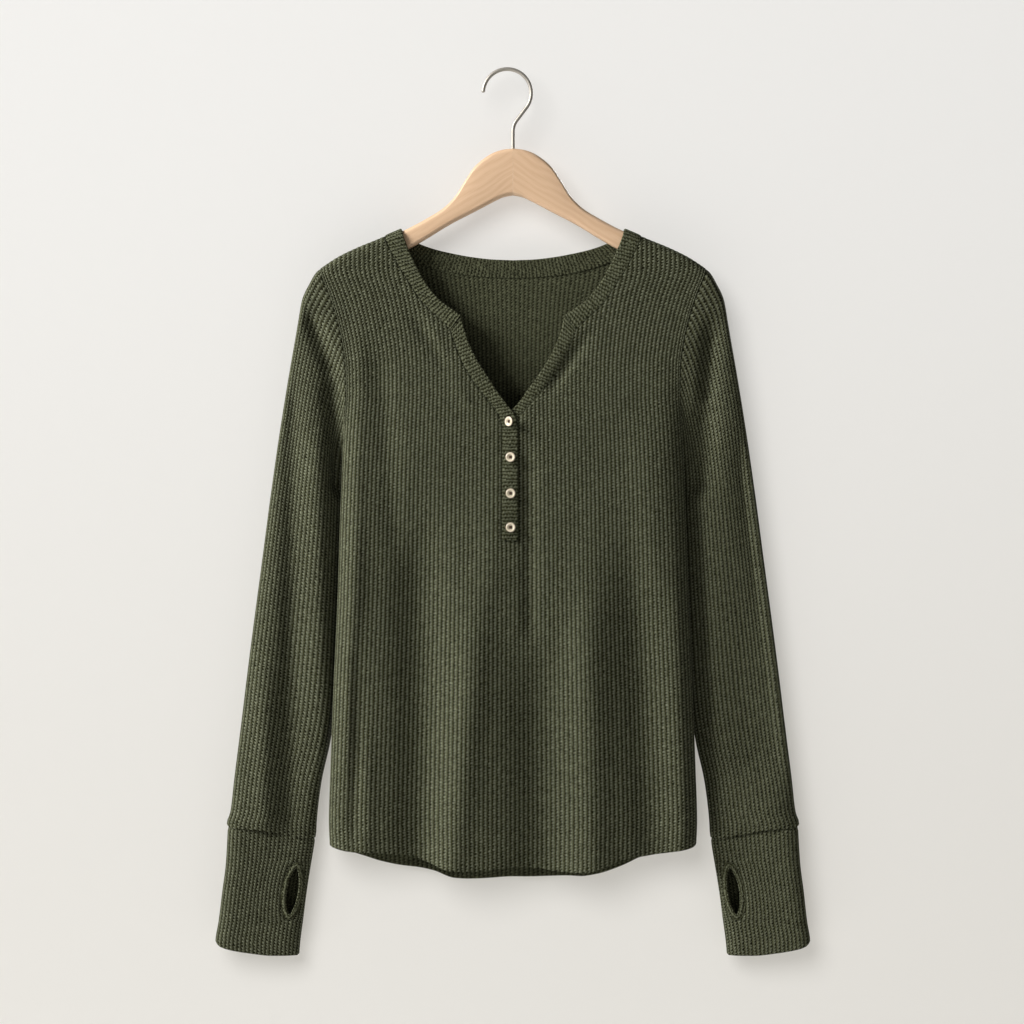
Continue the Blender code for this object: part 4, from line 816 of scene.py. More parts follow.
def thumb_lens(reach, turns):
    """Heights and half widths of the thumbhole's lens, `reach` mm outside it."""
    half_long = 0.5 * (THUMB_TOP_Z - THUMB_FOOT_Z) + reach
    half_wide = 0.5 * THUMB_WIDTH + reach
    point = 1.5 - 0.5 * min(reach / THUMB_BAND, 1.0)
    heights = 0.5 * (THUMB_TOP_Z + THUMB_FOOT_Z) + half_long * np.cos(turns)
    return heights, half_wide * np.sin(turns) ** point


def build_cuff(name, mirror, finish):
    count, way = SLEEVE_RIBS * PER_RIB, thumb_way()
    ways = 2.0 * np.arange(count) / count
    slit = int(np.argmin(np.abs(ways - way)))
    ways[slit] = way
    ways = np.insert(ways, slit, way)
    side_of_slit = np.sign(np.arange(count + 1) - slit - 0.5)
    levels, widths = thumb_lens(THUMB_BAND + 1.5 * SEAM, np.linspace(0.0, np.pi, THUMB_ROWS + 1))
    heights, grids = tube_grid(CUFF, CUFF_TURN, ways)
    top = [Across(row.x, row.z - CUFF_GAP) for row in CUFF_SEAM]
    upper = between_seams(heights, grids, top, levels[0],
                          [*CUFF_START, *np.linspace(0.0, 1.0, CUFF_TOP_ROWS)[1:-1]])
    lower = between_seams(heights, grids, levels[-1], CUFF_END,
                          [*np.linspace(0.0, CUFF_LAST[0], CUFF_FOOT_ROWS)[1:], *CUFF_LAST[1:]])
    middle, cut = [], []
    for z, width in zip(levels, widths):
        *_, run, front = tube_loop(CUFF, CUFF_TURN, z)
        gap = run_to(ways, run, front) - way * front
        gap -= run[-1] * (gap > 0.5 * run[-1])
        pushed = side_of_slit * width * np.clip(1.0 - np.abs(gap) / THUMB_REACH, 0.0, 1.0)
        x, y, normal_x, normal_y = tube_at(CUFF, CUFF_TURN, ways, z, pushed)
        middle.append(np.stack([x, y, np.full_like(x, z), normal_x, normal_y, 0.0 * x], -1))
        cut.append(THUMB_CUT * pushed * SLEEVE_RIBS / run[-1])
    rings, normals = np.split(np.concatenate([upper, middle, lower]), 2, axis=-1)
    run = run_along(*rings.transpose(2, 0, 1))
    below = run[-1] - run
    first, last = len(upper), len(upper) + THUMB_ROWS
    rows = np.arange(len(rings))
    edge = np.minimum(*(np.linalg.norm(rings - rings[:, [k]], axis=2) for k in (slit, slit + 1)))
    near = np.where(((rows >= first - 1) & (rows <= last + 1))[:, None], sunk(edge), 0.0)
    u = 0.5 * SLEEVE_RIBS * ways + 0.0 * run
    u[first : last + 1] += cut
    roll = rolled(below, CLOTH)
    sink = np.maximum(np.maximum(sunk(run), near), roll)
    height = CUFF_UNEVEN * unevenness(mirror * rings[..., 0], rings[..., 2]) * ease(run / CALM_SEAM)
    outside = rings + normals * (height + outer_relief(u) - sink)[..., None]
    inside = rings + normals * (height + inner_relief(u) - CLOTH + roll)[..., None]
    joined = np.arange(u.size).reshape(u.shape)
    shut = (rows <= first) | (rows >= last)
    joined[shut, slit + 1] = joined[shut, slit]
    cells = joined.ravel()[grid_cells(*u.shape, closed=True, skip=lambda r, c: c == slit)]
    uv = np.stack([u, below / WAFFLE], -1)
    return wall(name, outside, inside, cells, uv, finish, SLEEVE_RIBS, mirror)


def build_thumb_band(name, mirror, finish):
    """A rolled band of knit round the thumbhole, whose ribs run round it."""
    way = np.array([thumb_way()])
    across = THUMB_BAND * THUMB_STATIONS
    loops = []
    for reach in THUMB_BAND - across:
        heights, widths = thumb_lens(reach, np.linspace(0.0, np.pi, 61))
        heights, widths = np.append(heights, heights[-2:0:-1]), np.append(widths, -widths[-2:0:-1])
        x, y, normal_x, normal_y = np.transpose(
            [tube_at(CUFF, CUFF_TURN, way, z, shift)[:, 0] for z, shift in zip(heights, widths)])
        loops.append(np.stack([x, y, heights, normal_x, normal_y, 0.0 * x], -1))
    face, normals = np.split(np.array(loops), 2, axis=-1)
    u = (THUMB_FIRST_RIB + THUMB_RIBS * THUMB_STATIONS)[:, None] + np.zeros(face.shape[:2])
    free = (THUMB_BAND - across)[:, None]
    crest = 0.5 * outer_relief(u) - 0.9 * sunk(across[:, None]) - 1.8 * rolled(free, 0.7 * BAND)
    outside = face + normals * (BAND_PROUD + BAND_SWELL + crest)[..., None]
    inside = face + normals * (BAND_PROUD - BAND + 0.8 * rolled(free, BAND) + 0.0 * u)[..., None]
    uv = np.stack([u, run_along(*face[5].T) / WAFFLE + 0.0 * u], -1)
    return wall(name, outside, inside, grid_cells(*u.shape, closed=True), uv, finish, mirror=mirror)


# ---- neckband and placket


def ribbed_band(name, seam, edge, side, proud, thick, finish):
    """A band between its sewn and its free edge, whose ribs cross it. Rows are evenly spaced."""
    middle = 0.5 * (seam + edge)
    front, back = (body_depth(*middle.T, way) for way in (FORWARD, BACKWARD))
    run = run_along(*middle.T, np.where(side < 0.0, -front, back))
    count = int(round(run[-1] / BAND_PITCH)) * PER_RIB
    places = np.linspace(0.0, run[-1], count + 1)
    seam_x, seam_z, edge_x, edge_z, side, proud = (
        np.interp(places, run, values) for values in (*seam.T, *edge.T, side, proud))
    seam, edge = np.stack([seam_x, seam_z], -1), np.stack([edge_x, edge_z], -1)
    side = np.where(side > 0.0, BACKWARD, FORWARD)
    proud = proud[:, None]
    width = np.linalg.norm(edge - seam, axis=1)[:, None] - SEAM
    onward = (edge - seam) / (width + SEAM)
    from_end = np.minimum(places, run[-1] - places)[:, None]
    under = ease((from_end + SEAM) / ALLOWANCE_END) * [-ALLOWANCE, -0.5 * ALLOWANCE, -TINY]
    from_seam = np.concatenate([under, width * BAND_STATIONS], axis=1)
    flat = seam[:, None] + onward[:, None] * (from_seam + SEAM)[..., None]
    u = (places / run[-1] * count / PER_RIB)[:, None] + 0.0 * from_seam
    roll = rolled(width - from_seam, thick) + BAND_END_ROUND * rolled(from_end, thick)
    relief = outer_relief(u) * ease(from_seam / BAND_RISE) - BAND_SINK * sunk(from_seam)
    outer = proud + BAND_SWELL + relief - BAND_ROUND * roll
    inner = proud - thick + roll + inner_relief(u)
    outer[:, :3], inner[:, :3] = ALLOWANCE_TOP, ALLOWANCE_FOOT
    outside, inside = np.zeros((2, *u.shape, 3))
    for way in (FORWARD, BACKWARD):
        rows = side == way
        x, z = flat[rows].transpose(2, 0, 1)
        outside[rows] = body_points(x, z, way, outer[rows])
        inside[rows] = body_points(x, z, way, inner[rows])
    uv = np.stack([u, from_seam / WAFFLE], -1)
    return wall(name, outside, inside, grid_cells(*u.shape), uv, finish)


def neck_half(side, steps):
    """Seam and free edge of the neckband's right half on a panel, from the middle outwards."""
    seam_z, edge_z = float(shoulder_z(NECK_SIDE_X)), float(shoulder_z(NECK_EDGE_X))
    table = [*(NECK_FRONT if side == FORWARD else NECK_BACK),
             Band(NECK_SIDE_X, seam_z, NECK_EDGE_X, edge_z)]
    first = NECK_FRONT[0].seam_x if side == FORWARD else 0.0
    x = NECK_SIDE_X - (NECK_SIDE_X - first) * np.linspace(1.0, 0.0, steps) ** 1.5
    edge = np.stack(columns(table, ("edge_x", "edge_z"), x), -1)
    return np.stack([x, smooth(table, "seam_z", x)], -1), edge


def build_neckband(name, finish):
    front_half, back_half = neck_half(FORWARD, 160), neck_half(BACKWARD, 200)
    seam, edge = (np.concatenate([front, back[::-1]]) for front, back in zip(front_half, back_half))
    side = np.repeat([FORWARD, BACKWARD], [160, 200])
    seam, edge = (np.concatenate([line * [-1.0, 1.0], line[-2::-1]]) for line in (seam, edge))
    side = np.concatenate([side, side[-2::-1]])
    return ribbed_band(name, seam, edge, side, 0.0 * side + BAND_PROUD, BAND, finish)


def build_strip(name, table, other, closed_proud, finish):
    """A placket strip: beside the open V, then down the closed slot."""
    top, foot = table[0], table[-1]
    sign = np.sign(top.seam_x)
    x = np.linspace(top.seam_x, foot.seam_x, 160)
    edge_x, edge_z, proud = columns(table, ("edge_x", "edge_z", "proud"), x)
    seam = np.stack([x, neckline_z(x, FORWARD)], -1)
    edge = np.stack([edge_x, edge_z], -1)
    clear = x * sign <= abs(top.seam_x) - 0.12
    z = np.linspace(min(seam[-1, 1], edge[-1, 1]) - 3.0, PLACKET_FOOT_Z + 2.0 * SEAM, 60)
    lines = rib_lines(np.array([share_at(row.seam_x, row.seam_z) for row in (foot, other[-1])]))
    own, facing = ribs_at(lines, np.stack([z, z], -1)).T
    seam = np.concatenate([seam[clear], np.stack([own, z], -1)])
    edge = np.concatenate([edge[clear], np.stack([facing + sign * 1.5 * SEAM, z], -1)])
    proud = np.concatenate([proud[clear], np.full(len(z), closed_proud)])
    return ribbed_band(name, seam, edge, np.full(len(seam), FORWARD), proud, STRIP, finish)


# ---- buttons


def turned(name, profile, sides, finish=(), crease=50.0):
    """A solid of revolution about Y from (radius, depth) points that start and end on the axis."""
    radius, depth = np.array(profile).T[..., None]
    angle = 2.0 * np.pi * np.arange(sides) / sides
    rings = np.stack([radius * np.cos(angle), depth + 0.0 * angle, radius * np.sin(angle)], -1)
    points = np.concatenate([rings[1:-1].reshape(-1, 3), rings[[0, -1], 0]])
    tip = len(points) - 2
    faces = grid_cells(len(radius) - 2, sides, closed=True).tolist()
    for c, d in zip(range(sides), [*range(1, sides), 0]):
        faces += [(tip, c, d), (tip + 1, tip - sides + d, tip - sides + c)]
    return solid(name, points, faces, finish, crease)


def drill(target, cutter):
    """Cuts the target with the cutter and keeps the result as the target's own mesh."""
    modifier = target.modifiers.new("cut", "BOOLEAN")
    modifier.operation = "DIFFERENCE"
    modifier.object = cutter
    bpy.context.view_layer.update()
    depsgraph = bpy.context.evaluated_depsgraph_get()
    mesh = bpy.data.meshes.new_from_object(target.evaluated_get(depsgraph))
    target.modifiers.clear()
    target.data = mesh
    bpy.data.objects.remove(cutter)


def button_seat(spot):
    """y of a button's middle, so that its back lies BUTTON_SEAT in front of the placket."""
    radius, depth = (np.array(BUTTON_TOUCH) * [BUTTON_RADIUS, 0.5 * BUTTON_THICK]).T[..., None]
    turn, angle = np.radians(spot.turn), np.linspace(0.0, 2.0 * np.pi, 40)
    x = radius * np.cos(angle) * np.cos(turn) + depth * np.sin(turn)
    y = depth * np.cos(turn) - radius * np.cos(angle) * np.sin(turn)
    face = body_points(spot.x + x, spot.z + radius * np.sin(angle), FORWARD, PLACKET_CLOSED_TOP)
    return float((face[..., 1] - y).min()) - BUTTON_SEAT


def build_button(number, spot, finish, thread):
    """A turned button with a raised rim, a well, four holes and its crossed sewing thread."""
    rim, radius, well = 0.5 * BUTTON_THICK, BUTTON_RADIUS, BUTTON_WELL_RADIUS
    floor = BUTTON_WELL_DEPTH - rim
    profile = [(out * radius, back * rim) for out, back in BUTTON_BACK]
    profile += [(0.5 * (radius + well) + 0.5 * (radius - well) * np.cos(turn),
                 -0.15 * rim - 0.85 * rim * np.sin(turn)) for turn in np.linspace(0.0, np.pi, 15)]
    profile += [(out * well, floor + lift) for out, lift in BUTTON_WELL]
    button = turned(f"button_{number}_shell", profile, 72, [finish])
    corners = np.radians([45.0, 135.0, 225.0, 315.0])
    reach, hole = 2.0 * rim, BUTTON_HOLE_RADIUS
    for corner in corners:
        cutter = turned("hole", [(0.0, reach), (hole, reach), (hole, -reach), (0.0, -reach)], 20)
        cutter.location = np.array([np.cos(corner), 0.0, np.sin(corner)]) * BUTTON_HOLE_OUT * MM
        drill(button, cutter)
    stitches = [stitch_route(corners[start], corners[end], offset, floor, lift)
                for start, end, lift in STITCHES for offset in (-STITCH_ASIDE, STITCH_ASIDE)]
    sewn = tubes(f"button_{number}_thread", stitches, STITCH_RADIUS, 8, thread)
    seat = button_seat(spot)
    for piece in (button, sewn):
        piece.location = ((CENTRE_X + spot.x) * MM, seat * MM, spot.z * MM)
        piece.rotation_euler = (0.0, 0.0, -np.radians(spot.turn))
    put_on(button, "shell", f"button_{number}")
    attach(sewn, "root")


def stitch_route(start, end, offset, floor, lift):
    """One strand of thread from one hole to the one opposite, down into both."""
    a, b = (BUTTON_HOLE_OUT * np.array([np.cos(turn), np.sin(turn)]) for turn in (start, end))
    across = unit(np.array([a[1] - b[1], b[0] - a[0]])) * offset
    t = np.clip(np.linspace(-0.1, 1.1, 13), 0.0, 1.0)
    x, z = (a + across)[:, None] + (b - a)[:, None] * t
    y = floor - lift * np.sin(np.pi * t) ** 0.5
    y[[0, -1]] = floor + STITCH_END
    return np.stack([x, y, z], -1)


def tubes(name, routes, radius, sides, finish):
    """Round closed tubes along routes in millimetres, joined as one mesh. Ends are domed."""
    dome = np.array([0.3, 0.8, 1.2])
    back, size = 0.9 * radius * np.cos(dome)[:, None], np.sin(dome)
    angle = 2.0 * np.pi * np.arange(sides) / sides
    cosine, sine = np.cos(angle)[:, None], np.sin(angle)[:, None]
    points, faces = [], []
    for route in routes:
        ahead = unit(np.gradient(route, axis=0))
        aside = np.cross(ahead, [0.0, 1.0, 0.0])
        weak = np.linalg.norm(aside, axis=1) < 0.2
        aside[weak] = np.cross(ahead[weak], [1.0, 0.0, 0.0])
        aside = unit(aside)
        lift = np.cross(ahead, aside)
        starts, ends = route[0] - ahead[0] * back, route[-1] + ahead[-1] * back[::-1]
        middles = np.concatenate([starts, route, ends])
        wide = radius * np.concatenate([size, np.ones(len(route)), size[::-1]])
        k = np.clip(np.arange(len(middles)) - len(dome), 0, len(route) - 1)
        faces += capped(len(middles), sides, len(points))
        points += list((middles[:, None] + wide[:, None, None] * (
            cosine * aside[k][:, None] + sine * lift[k][:, None])).reshape(-1, 3))
    return solid(name, points, faces, [finish])


# ---- hanger and hook


def build_arm(name, mirror, node, finish):
    """Half of the hanger: rounded sections swept along its outline, and bored for the hook."""
    body, tip = HANGER[-3].x + 2.0, HANGER[-1].x
    x = np.unique(np.append(np.linspace(0.5 * ARMS_GAP, body, 84), np.linspace(body, tip, 24)))
    x = x[:, None]
    top, foot, half = columns(HANGER, ("top_z", "foot_z", "half_thick"), x)
    edge = np.minimum(HANGER_EDGE, 0.95 * half)
    corner, step = (index.ravel() for index in np.mgrid[:4, : CORNER_STEPS + 1])
    angle = 0.5 * np.pi * (corner + step / CORNER_STEPS)
    y = (half - edge) * np.where(corner % 3 == 0, 1.0, -1.0) + edge * np.cos(angle)
    z = np.where(corner < 2, top - edge, foot + edge) + edge * np.sin(angle)
    points = np.stack([mirror * x + 0.0 * y, y, z], -1).reshape(-1, 3)
    up = z + 100.0
    grain = np.stack([GRAIN_COS * x - GRAIN_SIN * up + GRAIN_APART * mirror,
                      GRAIN_SIN * x + GRAIN_COS * up], -1).reshape(-1, 2)
    arm = solid(name, points + [CENTRE_X, 0.0, 0.0], capped(len(x), len(angle)), [finish], 40.0)
    layer = arm.data.uv_layers.new(name="Grain")
    for loop, place_of in zip(arm.data.loops, layer.data):
        place_of.uv = grain[loop.vertex_index]
    depth = HANGER[0].top_z - HOOK_STEM_FOOT_Z + 2.0
    ring = [(0.0, -depth), (0.5 * HOOK_BORE, -depth), (0.5 * HOOK_BORE, depth), (0.0, depth)]
    bore = turned("bore", ring, 32)
    bore.rotation_euler = (0.5 * np.pi, 0.0, 0.0)
    bore.location = (CENTRE_X * MM, 0.0, HANGER[0].top_z * MM)
    drill(arm, bore)
    put_on(arm, "wood", node)


def hook_route():
    """Points along the wire, from the stem's foot in the hanger to the crown's free end."""
    centre = np.array([0.0, 0.5 * WIRE - HOOK_RADIUS])
    start, end = np.radians([HOOK_NECK_ANGLE, HOOK_TIP_ANGLE])
    angle = np.linspace(start, end, 110)[1:, None]
    crown = centre + HOOK_RADIUS * np.hstack([np.cos(angle), np.sin(angle)])
    tangent = centre + HOOK_RADIUS * np.array([np.cos(start), np.sin(start)])
    way = np.array([np.sin(start), -np.cos(start)])
    corner = tangent + way * (tangent[0] - CENTRE_X) / -way[0]
    below, above = corner + [0.0, -HOOK_NECK_BEND], corner - way * HOOK_NECK_BEND
    stem = np.linspace([CENTRE_X, HOOK_STEM_FOOT_Z + 1.5], below, 16)
    t = np.linspace(0.0, 1.0, 15)[1:, None]
    bend = (1.0 - t) ** 2 * below + 2.0 * t * (1.0 - t) * corner + t * t * above
    x, z = np.concatenate([stem, bend, np.linspace(above, tangent, 6)[1:], crown]).T
    return np.stack([x, 0.0 * x, z], -1)


# ---- materials


class Nodes:
    """Adds nodes to a material's tree. A socket argument is a number, a colour or a socket."""

    def __init__(self, owner, shader="Principled BSDF"):
        owner.use_nodes = True
        self.tree = owner.node_tree
        self.shader = self.tree.nodes[shader]

    def join(self, node, inputs):
        """Sets each named socket of a node, or links it to the socket given."""
        for name, value in dict(inputs).items():
            socket = node.inputs[name]
            if isinstance(value, bpy.types.NodeSocket):
                self.tree.links.new(value, socket)
            else:
                socket.default_value = (*value, 1.0) if socket.type == "RGBA" else value

    def add(self, kind, inputs=(), **settings):
        node = self.tree.nodes.new(kind)
        for key, value in settings.items():
            setattr(node, key, value)
        self.join(node, inputs)
        return node

    def read(self, kind, output=0, inputs=(), **settings):
        return self.add("ShaderNode" + kind, inputs, **settings).outputs[output]

    def math(self, operation, *values):
        return self.read("Math", 0, enumerate(values), operation=operation)

    def line(self, value, slope, base):
        return self.math("MULTIPLY_ADD", value, slope, base)

    def product(self, first, *others):
        for other in others:
            first = self.math("MULTIPLY", first, other)
        return first

    def fold(self, value, half=0.5):
        """Distance of the value from the nearest whole number, or from a multiple of 2 `half`."""
        return self.math("PINGPONG", value, half)

    def step(self, value, low, high):
        """0 below `low` and 1 above `high`, softly."""
        inputs = {0: value, 1: low, 2: high}
        return self.read("MapRange", 0, inputs, interpolation_type="SMOOTHSTEP")

    def fall(self, value, low, high):
        return self.math("SUBTRACT", 1.0, self.step(value, low, high))

    def mix(self, share, a, b):
        return self.read("Mix", 2, {0: share, 6: a, 7: b}, data_type="RGBA")

    def noise(self, vector, scale, detail=2.0, stretch=None):
        if stretch:
            vector = self.read("VectorMath", 0, {0: vector, 1: stretch}, operation="MULTIPLY")
        return self.read("TexNoise", 0, {"Vector": vector, "Scale": scale, "Detail": detail})

    def spot(self):
        return self.read("TexCoord", "Object")

    def relief(self, height, strength, distance):
        inputs = {"Height": height, "Strength": strength, "Distance": distance}
        self.join(self.shader, {"Normal": self.read("Bump", 0, inputs)})


def material(name, **inputs):
    """A material and its nodes, with the shader's plain values, named in lower case."""
    made = bpy.data.materials.new(name)
    n = Nodes(made)
    names = {socket.name.lower().replace(" ", "_"): socket.name for socket in n.shader.inputs}
    n.join(n.shader, {names[key]: value for key, value in inputs.items()})
    return made, n


# Colours of a yarn: the crest's lighter colour is a painted highlight, and the groove's and the
# stop's darker colours are painted shade in the knit's hollows.
Yarn = namedtuple("Yarn", "crest flank groove stop")
OUTER = Yarn((0.166, 0.174, 0.118), (0.074, 0.077, 0.044), (0.043, 0.044, 0.019),
             (0.006, 0.006, 0.002))
BANDED = Yarn((0.150, 0.157, 0.102), (0.084, 0.088, 0.050), (0.048, 0.050, 0.023),
              (0.014, 0.014, 0.006))
INNER = Yarn((0.118, 0.124, 0.074), (0.070, 0.073, 0.040), (0.042, 0.044, 0.023),
             (0.018, 0.018, 0.009))
SLANT = 0.8                # how far a bead slants across its rib, in beads
BEAD = 0.88                # how much a rib darkens between two of its beads, as painted shade


def knit(name, yarn_colours, crossed=False):
    """Waffle-rib knit: each rib is a chain of beads that zigzags slightly, with dark stops in the
    grooves beside it and fine yarn all over. The darker grooves, stops and gaps between beads are
    painted shade, and the lighter crests are a painted highlight."""
    made, n = material(
        name, roughness=0.92, specular_ior_level=0.06, sheen_weight=0.05, sheen_roughness=0.5,
        sheen_tint=(0.75, 0.78, 0.6))
    uv, spot = n.read("UVMap", uv_map="Knit"), n.spot()

    def unsteady(value, scale, by):
        return n.line(n.math("SUBTRACT", n.noise(spot, scale, 1.0), 0.5), by, value)

    split = n.add("ShaderNodeSeparateXYZ", {0: uv}).outputs
    v = n.math("ADD", split[1], n.line(n.noise(spot, 60.0), 0.7, -0.35))
    v = unsteady(v, 390.0, 0.9)
    u = unsteady(split[0], 330.0, 1.1 if crossed else 0.5)
    rib_number = n.math("FLOOR", n.math("ADD", u, 0.5))
    cell = n.line(n.math("SUBTRACT", u, rib_number), SLANT, n.line(rib_number, 0.5, v))
    zigzag = n.math("SUBTRACT", n.fold(n.product(cell, 2.0), 1.0), 0.5)
    rib = n.fold(n.math("ADD", u, n.product(zigzag, 0.26 if crossed else 0.44)))
    crest, groove = n.fall(rib, 0.08, 0.33), n.step(rib, 0.22, 0.38)
    bead = n.step(n.fold(cell), 0.06, 0.42)
    stop = n.product(groove, n.fall(n.fold(cell), 0.10, 0.36))
    chance = n.read("CombineXYZ", 0, {0: rib_number, 1: n.math("FLOOR", cell)})
    chance = n.read("TexWhiteNoise", 0, {0: chance}, noise_dimensions="3D")
    yarn, fibre = n.noise(uv, 6.0, 3.0, (0.7, 1.6, 1.0)), n.noise(spot, 1150.0)
    # Painted highlight: the beads on the crests take the lighter crest colour, and it is dimmed
    # between beads as painted shade.
    shown = n.product(crest, n.line(bead, BEAD, 1.0 - BEAD))
    colour = n.mix(shown, yarn_colours.flank, yarn_colours.crest)
    # Painted shade: a darker colour in the grooves, and the darkest in the stops between beads.
    colour = n.mix(groove, colour, yarn_colours.groove)
    colour = n.mix(stop, colour, yarn_colours.stop)
    light = n.product(n.line(yarn, 0.6, 0.70), n.line(chance, 0.24, 0.88),
                      n.line(fibre, 0.6, 0.70), n.line(n.noise(spot, 9.0), 0.10, 0.95))
    colour = n.read("VectorMath", 0, {0: colour, "Scale": light}, operation="SCALE")
    n.join(n.shader, {"Base Color": colour})
    height = 0.0
    for part, share in ((bead, 0.35), (crest, 0.35), (stop, -0.75), (yarn, 0.35), (fibre, 0.12)):
        height = n.line(part, share, height)
    n.relief(height, 0.9, 0.0007)
    return made


def wood(name):
    """Pale clear-coated hardwood, its grain running along the arm."""
    made, n = material(name, roughness=0.42, coat_weight=0.15, coat_roughness=0.3)
    uv = n.read("UVMap", uv_map="Grain")
    across = n.read("SeparateXYZ", 1, {0: uv})
    rings = n.line(n.noise(uv, 0.04, 1.0, (0.5, 1.0, 1.0)), 2.4, n.product(across, 0.16))
    streak = n.noise(uv, 1.0, 4.0, (0.03, 0.9, 1.0))
    pore = n.step(n.noise(uv, 1.0, 3.0, (0.14, 3.0, 1.0)), 0.58, 0.72)
    colour = n.mix(n.step(n.fold(rings), 0.0, 0.5), (0.712, 0.465, 0.284), (0.775, 0.525, 0.335))
    colour = n.mix(n.product(n.step(streak, 0.35, 0.75), 0.5), colour, (0.82, 0.575, 0.37))
    colour = n.mix(n.product(pore, 0.16), colour, (0.46, 0.26, 0.13))
    n.join(n.shader, {"Base Color": colour})
    n.relief(n.math("SUBTRACT", n.product(streak, 0.5), pore), 0.25, 0.0002)
    return made


def metal(name):
    """Warm brushed nickel, drawn along the wire."""
    made, n = material(name, metallic=0.8)
    scratch = n.noise(n.spot(), 900.0, 3.0, (1.0, 1.0, 0.12))
    n.join(n.shader, {"Base Color": n.mix(scratch, (0.40, 0.37, 0.32), (0.56, 0.52, 0.46)),
                      "Roughness": n.line(scratch, 0.24, 0.4)})
    return made


def shell(name):
    """Shell button: a cream pearly rim, with brown painted shade in the well and round the outer
    edge.
    """
    made, n = material(name, roughness=0.3, coat_weight=0.3, coat_roughness=0.15)
    split = n.add("ShaderNodeSeparateXYZ", {0: n.spot()}).outputs
    squares = [n.math("POWER", split[k], 2.0) for k in (0, 2)]
    out = n.math("SQRT", n.math("ADD", *squares))
    # Inside the cream ring, in the well, and outside it, round the edge, the brown is painted
    # shade.
    rim = n.math("SUBTRACT", n.step(out, 0.0013, 0.0021), n.step(out, 0.0043, 0.0050))
    cloud = n.noise(n.spot(), 420.0, 3.0)
    cream = n.mix(cloud, (0.66, 0.55, 0.38), (0.88, 0.80, 0.64))
    painted_shade = n.mix(cloud, (0.060, 0.034, 0.016), (0.20, 0.125, 0.070))
    n.join(n.shader, {"Base Color": n.mix(rim, painted_shade, cream)})
    n.relief(cloud, 0.15, 0.0002)
    return made


# ---- studio (m)

CAMERA_X, CAMERA_Z = 0.0048, -0.441
CAMERA_AWAY = 3.25
SENSOR = 36.0
VIEW_WIDTH = 1.024         # width of the view at the hanger's plane
FLOOR_Z, FLOOR_HALF = -1.6, 3.6
WALL_Y, WALL_HALF, WALL_TOP = 0.034, 1.6, 0.9
SEEN = (0.87, 0.86, 0.83)              # the room as the camera sees it
AROUND = (0.16, 0.16, 0.156)           # and as it lights the object
LAMPS_AT = (0.0, 0.0, -0.45)

Lamp = namedtuple("Lamp", "name location size power wall")
LAMPS = (
    Lamp("key", (-2.36, -1.02, 0.90), 1.25, 138.0, "EXCLUDE"),
    Lamp("wall", (-1.3, -3.5, 1.1), 2.6, 92.0, "INCLUDE"),
    Lamp("behind", (2.0, 3.2, 0.8), 2.0, 70.0, "EXCLUDE"),
)


def backdrop(name, corners, finish):
    mesh = bpy.data.meshes.new(name)
    mesh.from_pydata(corners, [], [(0, 1, 2, 3)])
    mesh.materials.append(finish)
    made = place(name, mesh)
    return made


def build_floor():
    finish, n = material("floor", base_color=(0.78, 0.77, 0.74), roughness=0.9,
                         emission_color=(1.0, 0.985, 0.95))
    seen = n.read("LightPath", "Is Camera Ray")
    n.join(n.shader, {"Emission Strength": n.product(seen, 0.34)})
    signs = ((-1.0, -1.0), (1.0, -1.0), (1.0, 1.0), (-1.0, 1.0))
    backdrop("floor", [(x * FLOOR_HALF, y * FLOOR_HALF, FLOOR_Z) for x, y in signs], finish)


def build_wall():
    """A pale wall just behind the object, which takes its shadow and is clear from behind. It
    neither lights the object nor keeps light from it."""
    finish, n = material("wall", base_color=(0.56, 0.55, 0.53), roughness=1.0,
                         specular_ior_level=0.0, emission_strength=0.42)
    # The wall's glow is painted light: it is no lamp, and it is brighter at the top and darker and
    # warmer towards the bottom.
    up = n.read("SeparateXYZ", 2, {0: n.spot()})
    painted_light = n.mix(n.step(up, -0.95, 0.15), (0.84, 0.805, 0.74), (1.03, 1.02, 1.0))
    n.join(n.shader, {"Emission Color": painted_light})
    behind, clear = n.read("NewGeometry", "Backfacing"), n.read("BsdfTransparent")
    shown = n.read("MixShader", 0, {0: behind, 1: n.shader.outputs[0], 2: clear})
    n.join(n.tree.nodes["Material Output"], {0: shown})
    corners = [(-WALL_HALF, FLOOR_Z), (WALL_HALF, FLOOR_Z), (WALL_HALF, WALL_TOP),
               (-WALL_HALF, WALL_TOP)]
    wall_piece = backdrop("wall", [(x, WALL_Y, z) for x, z in corners], finish)
    wall_piece.visible_diffuse = wall_piece.visible_glossy = False
    wall_piece.visible_transmission = wall_piece.visible_shadow = False
    return wall_piece


def build_lamp(lamp, wall_piece):
    """A round lamp that lights the wall and nothing else, or everything but the wall."""
    light = bpy.data.lights.new(lamp.name, "AREA")
    light.shape, light.size, light.energy = "DISK", lamp.size, lamp.power
    made = place(lamp.name, light)
    made.location = lamp.location
    away = Vector(LAMPS_AT) - made.location
    made.rotation_euler = away.to_track_quat("-Z", "Y").to_euler()
    lit = bpy.data.collections.new(lamp.name + "_lights")
    lit.objects.link(wall_piece)
    lit.collection_objects[0].light_linking.link_state = lamp.wall
    made.light_linking.receiver_collection = lit


def build_studio():
    camera = bpy.data.cameras.new("camera")
    camera.sensor_width = SENSOR
    camera.lens = SENSOR * CAMERA_AWAY / VIEW_WIDTH
    made = place("camera", camera)
    made.location = (CAMERA_X, -CAMERA_AWAY, CAMERA_Z)
    made.rotation_euler = (0.5 * np.pi, 0.0, 0.0)
    bpy.context.scene.camera = made
    bpy.context.scene.view_settings.view_transform = "Standard"
    build_floor()
    wall_piece = build_wall()
    world = bpy.data.worlds.new("room")
    bpy.context.scene.world = world
    n = Nodes(world, "Background")
    n.join(n.shader, {0: n.mix(n.read("LightPath", "Is Camera Ray"), AROUND, SEEN)})
    for lamp in LAMPS:
        build_lamp(lamp, wall_piece)


# ---- the whole top


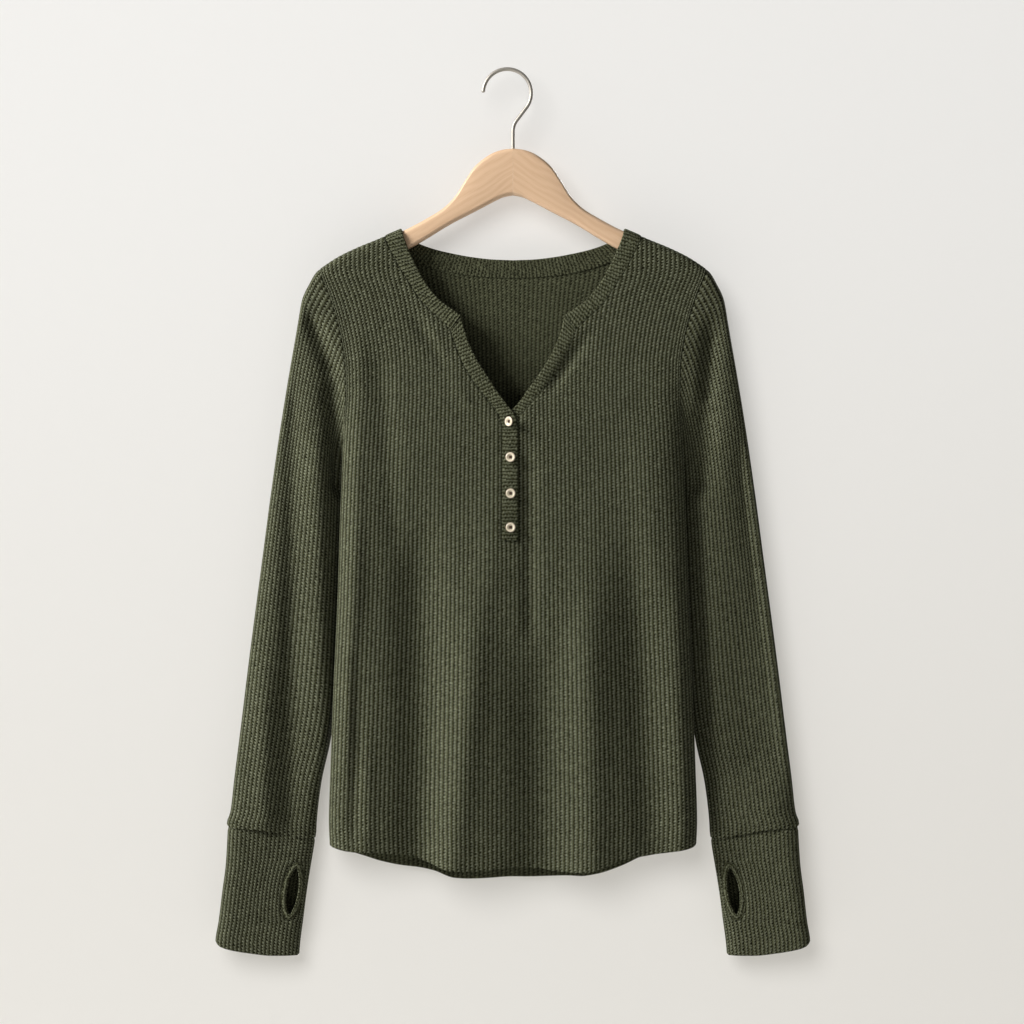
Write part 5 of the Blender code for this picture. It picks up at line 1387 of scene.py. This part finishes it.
def hang(piece, slot, node, flat, rests_on, **more):
    """Puts on a piece of cloth. The flat cut it is made from, `flat`, is not used."""
    put_on(piece, slot, node)


def build_cloth():
    fabric = knit("knit", OUTER), knit("knit_inside", INNER)
    trim = knit("knit_band", BANDED, crossed=True), knit("knit_band_inside", INNER, crossed=True)
    arms = ["hanger_left", "hanger_right"]
    for node, side, flat, area in (
            ("front", FORWARD, (0.405, 0.640), 0.215), ("back", BACKWARD, (0.405, 0.655), 0.238)):
        hang(build_panel(f"{node}_cloth", side, fabric), "knit", node, flat, arms, area=area)
    for side, mirror, folds in (
            ("left", -1.0, LEFT_SLEEVE_FOLDS), ("right", 1.0, RIGHT_SLEEVE_FOLDS)):
        sleeve = build_sleeve(f"sleeve_{side}_cloth", mirror, folds, fabric)
        hang(sleeve, "knit", f"sleeve_{side}", (0.300, 0.580), ["hanger_" + side], area=0.104)
        cuff = build_cuff(f"cuff_{side}_cloth", mirror, fabric)
        band = build_thumb_band(f"thumb_band_{side}_cloth", mirror, trim)
        put_on(band, "knit_band", f"thumb_band_{side}")
        hang(cuff, "knit", f"cuff_{side}", (0.192, 0.128), [sleeve.name], with_pieces=[band])
    hang(build_neckband("neckband_cloth", trim), "knit_band", "neckband", (0.0165, 0.560), arms)
    for node, table, other, proud in (
            ("placket_top", PLACKET_TOP, PLACKET_UNDER, PLACKET_CLOSED_TOP),
            ("placket_under", PLACKET_UNDER, PLACKET_TOP, PLACKET_CLOSED_UNDER)):
        strip = build_strip(f"{node}_cloth", table, other, proud, trim)
        hang(strip, "knit_band", node, (0.0155, 0.245), ["front_cloth"])


def build():
    build_cloth()
    cream = shell("shell")
    thread, _ = material("thread", base_color=(0.085, 0.048, 0.024), roughness=0.85)
    for number, spot in enumerate(BUTTONS, 1):
        build_button(number, spot, cream, thread)
    timber = wood("wood")
    build_arm("arm_left", -1.0, "hanger_left", timber)
    build_arm("arm_right", 1.0, "hanger_right", timber)
    hook = tubes("hook_wire", [hook_route()], 0.5 * WIRE, 24, metal("metal"))
    put_on(hook, "hook_wire", "hook")
    build_studio()


build()
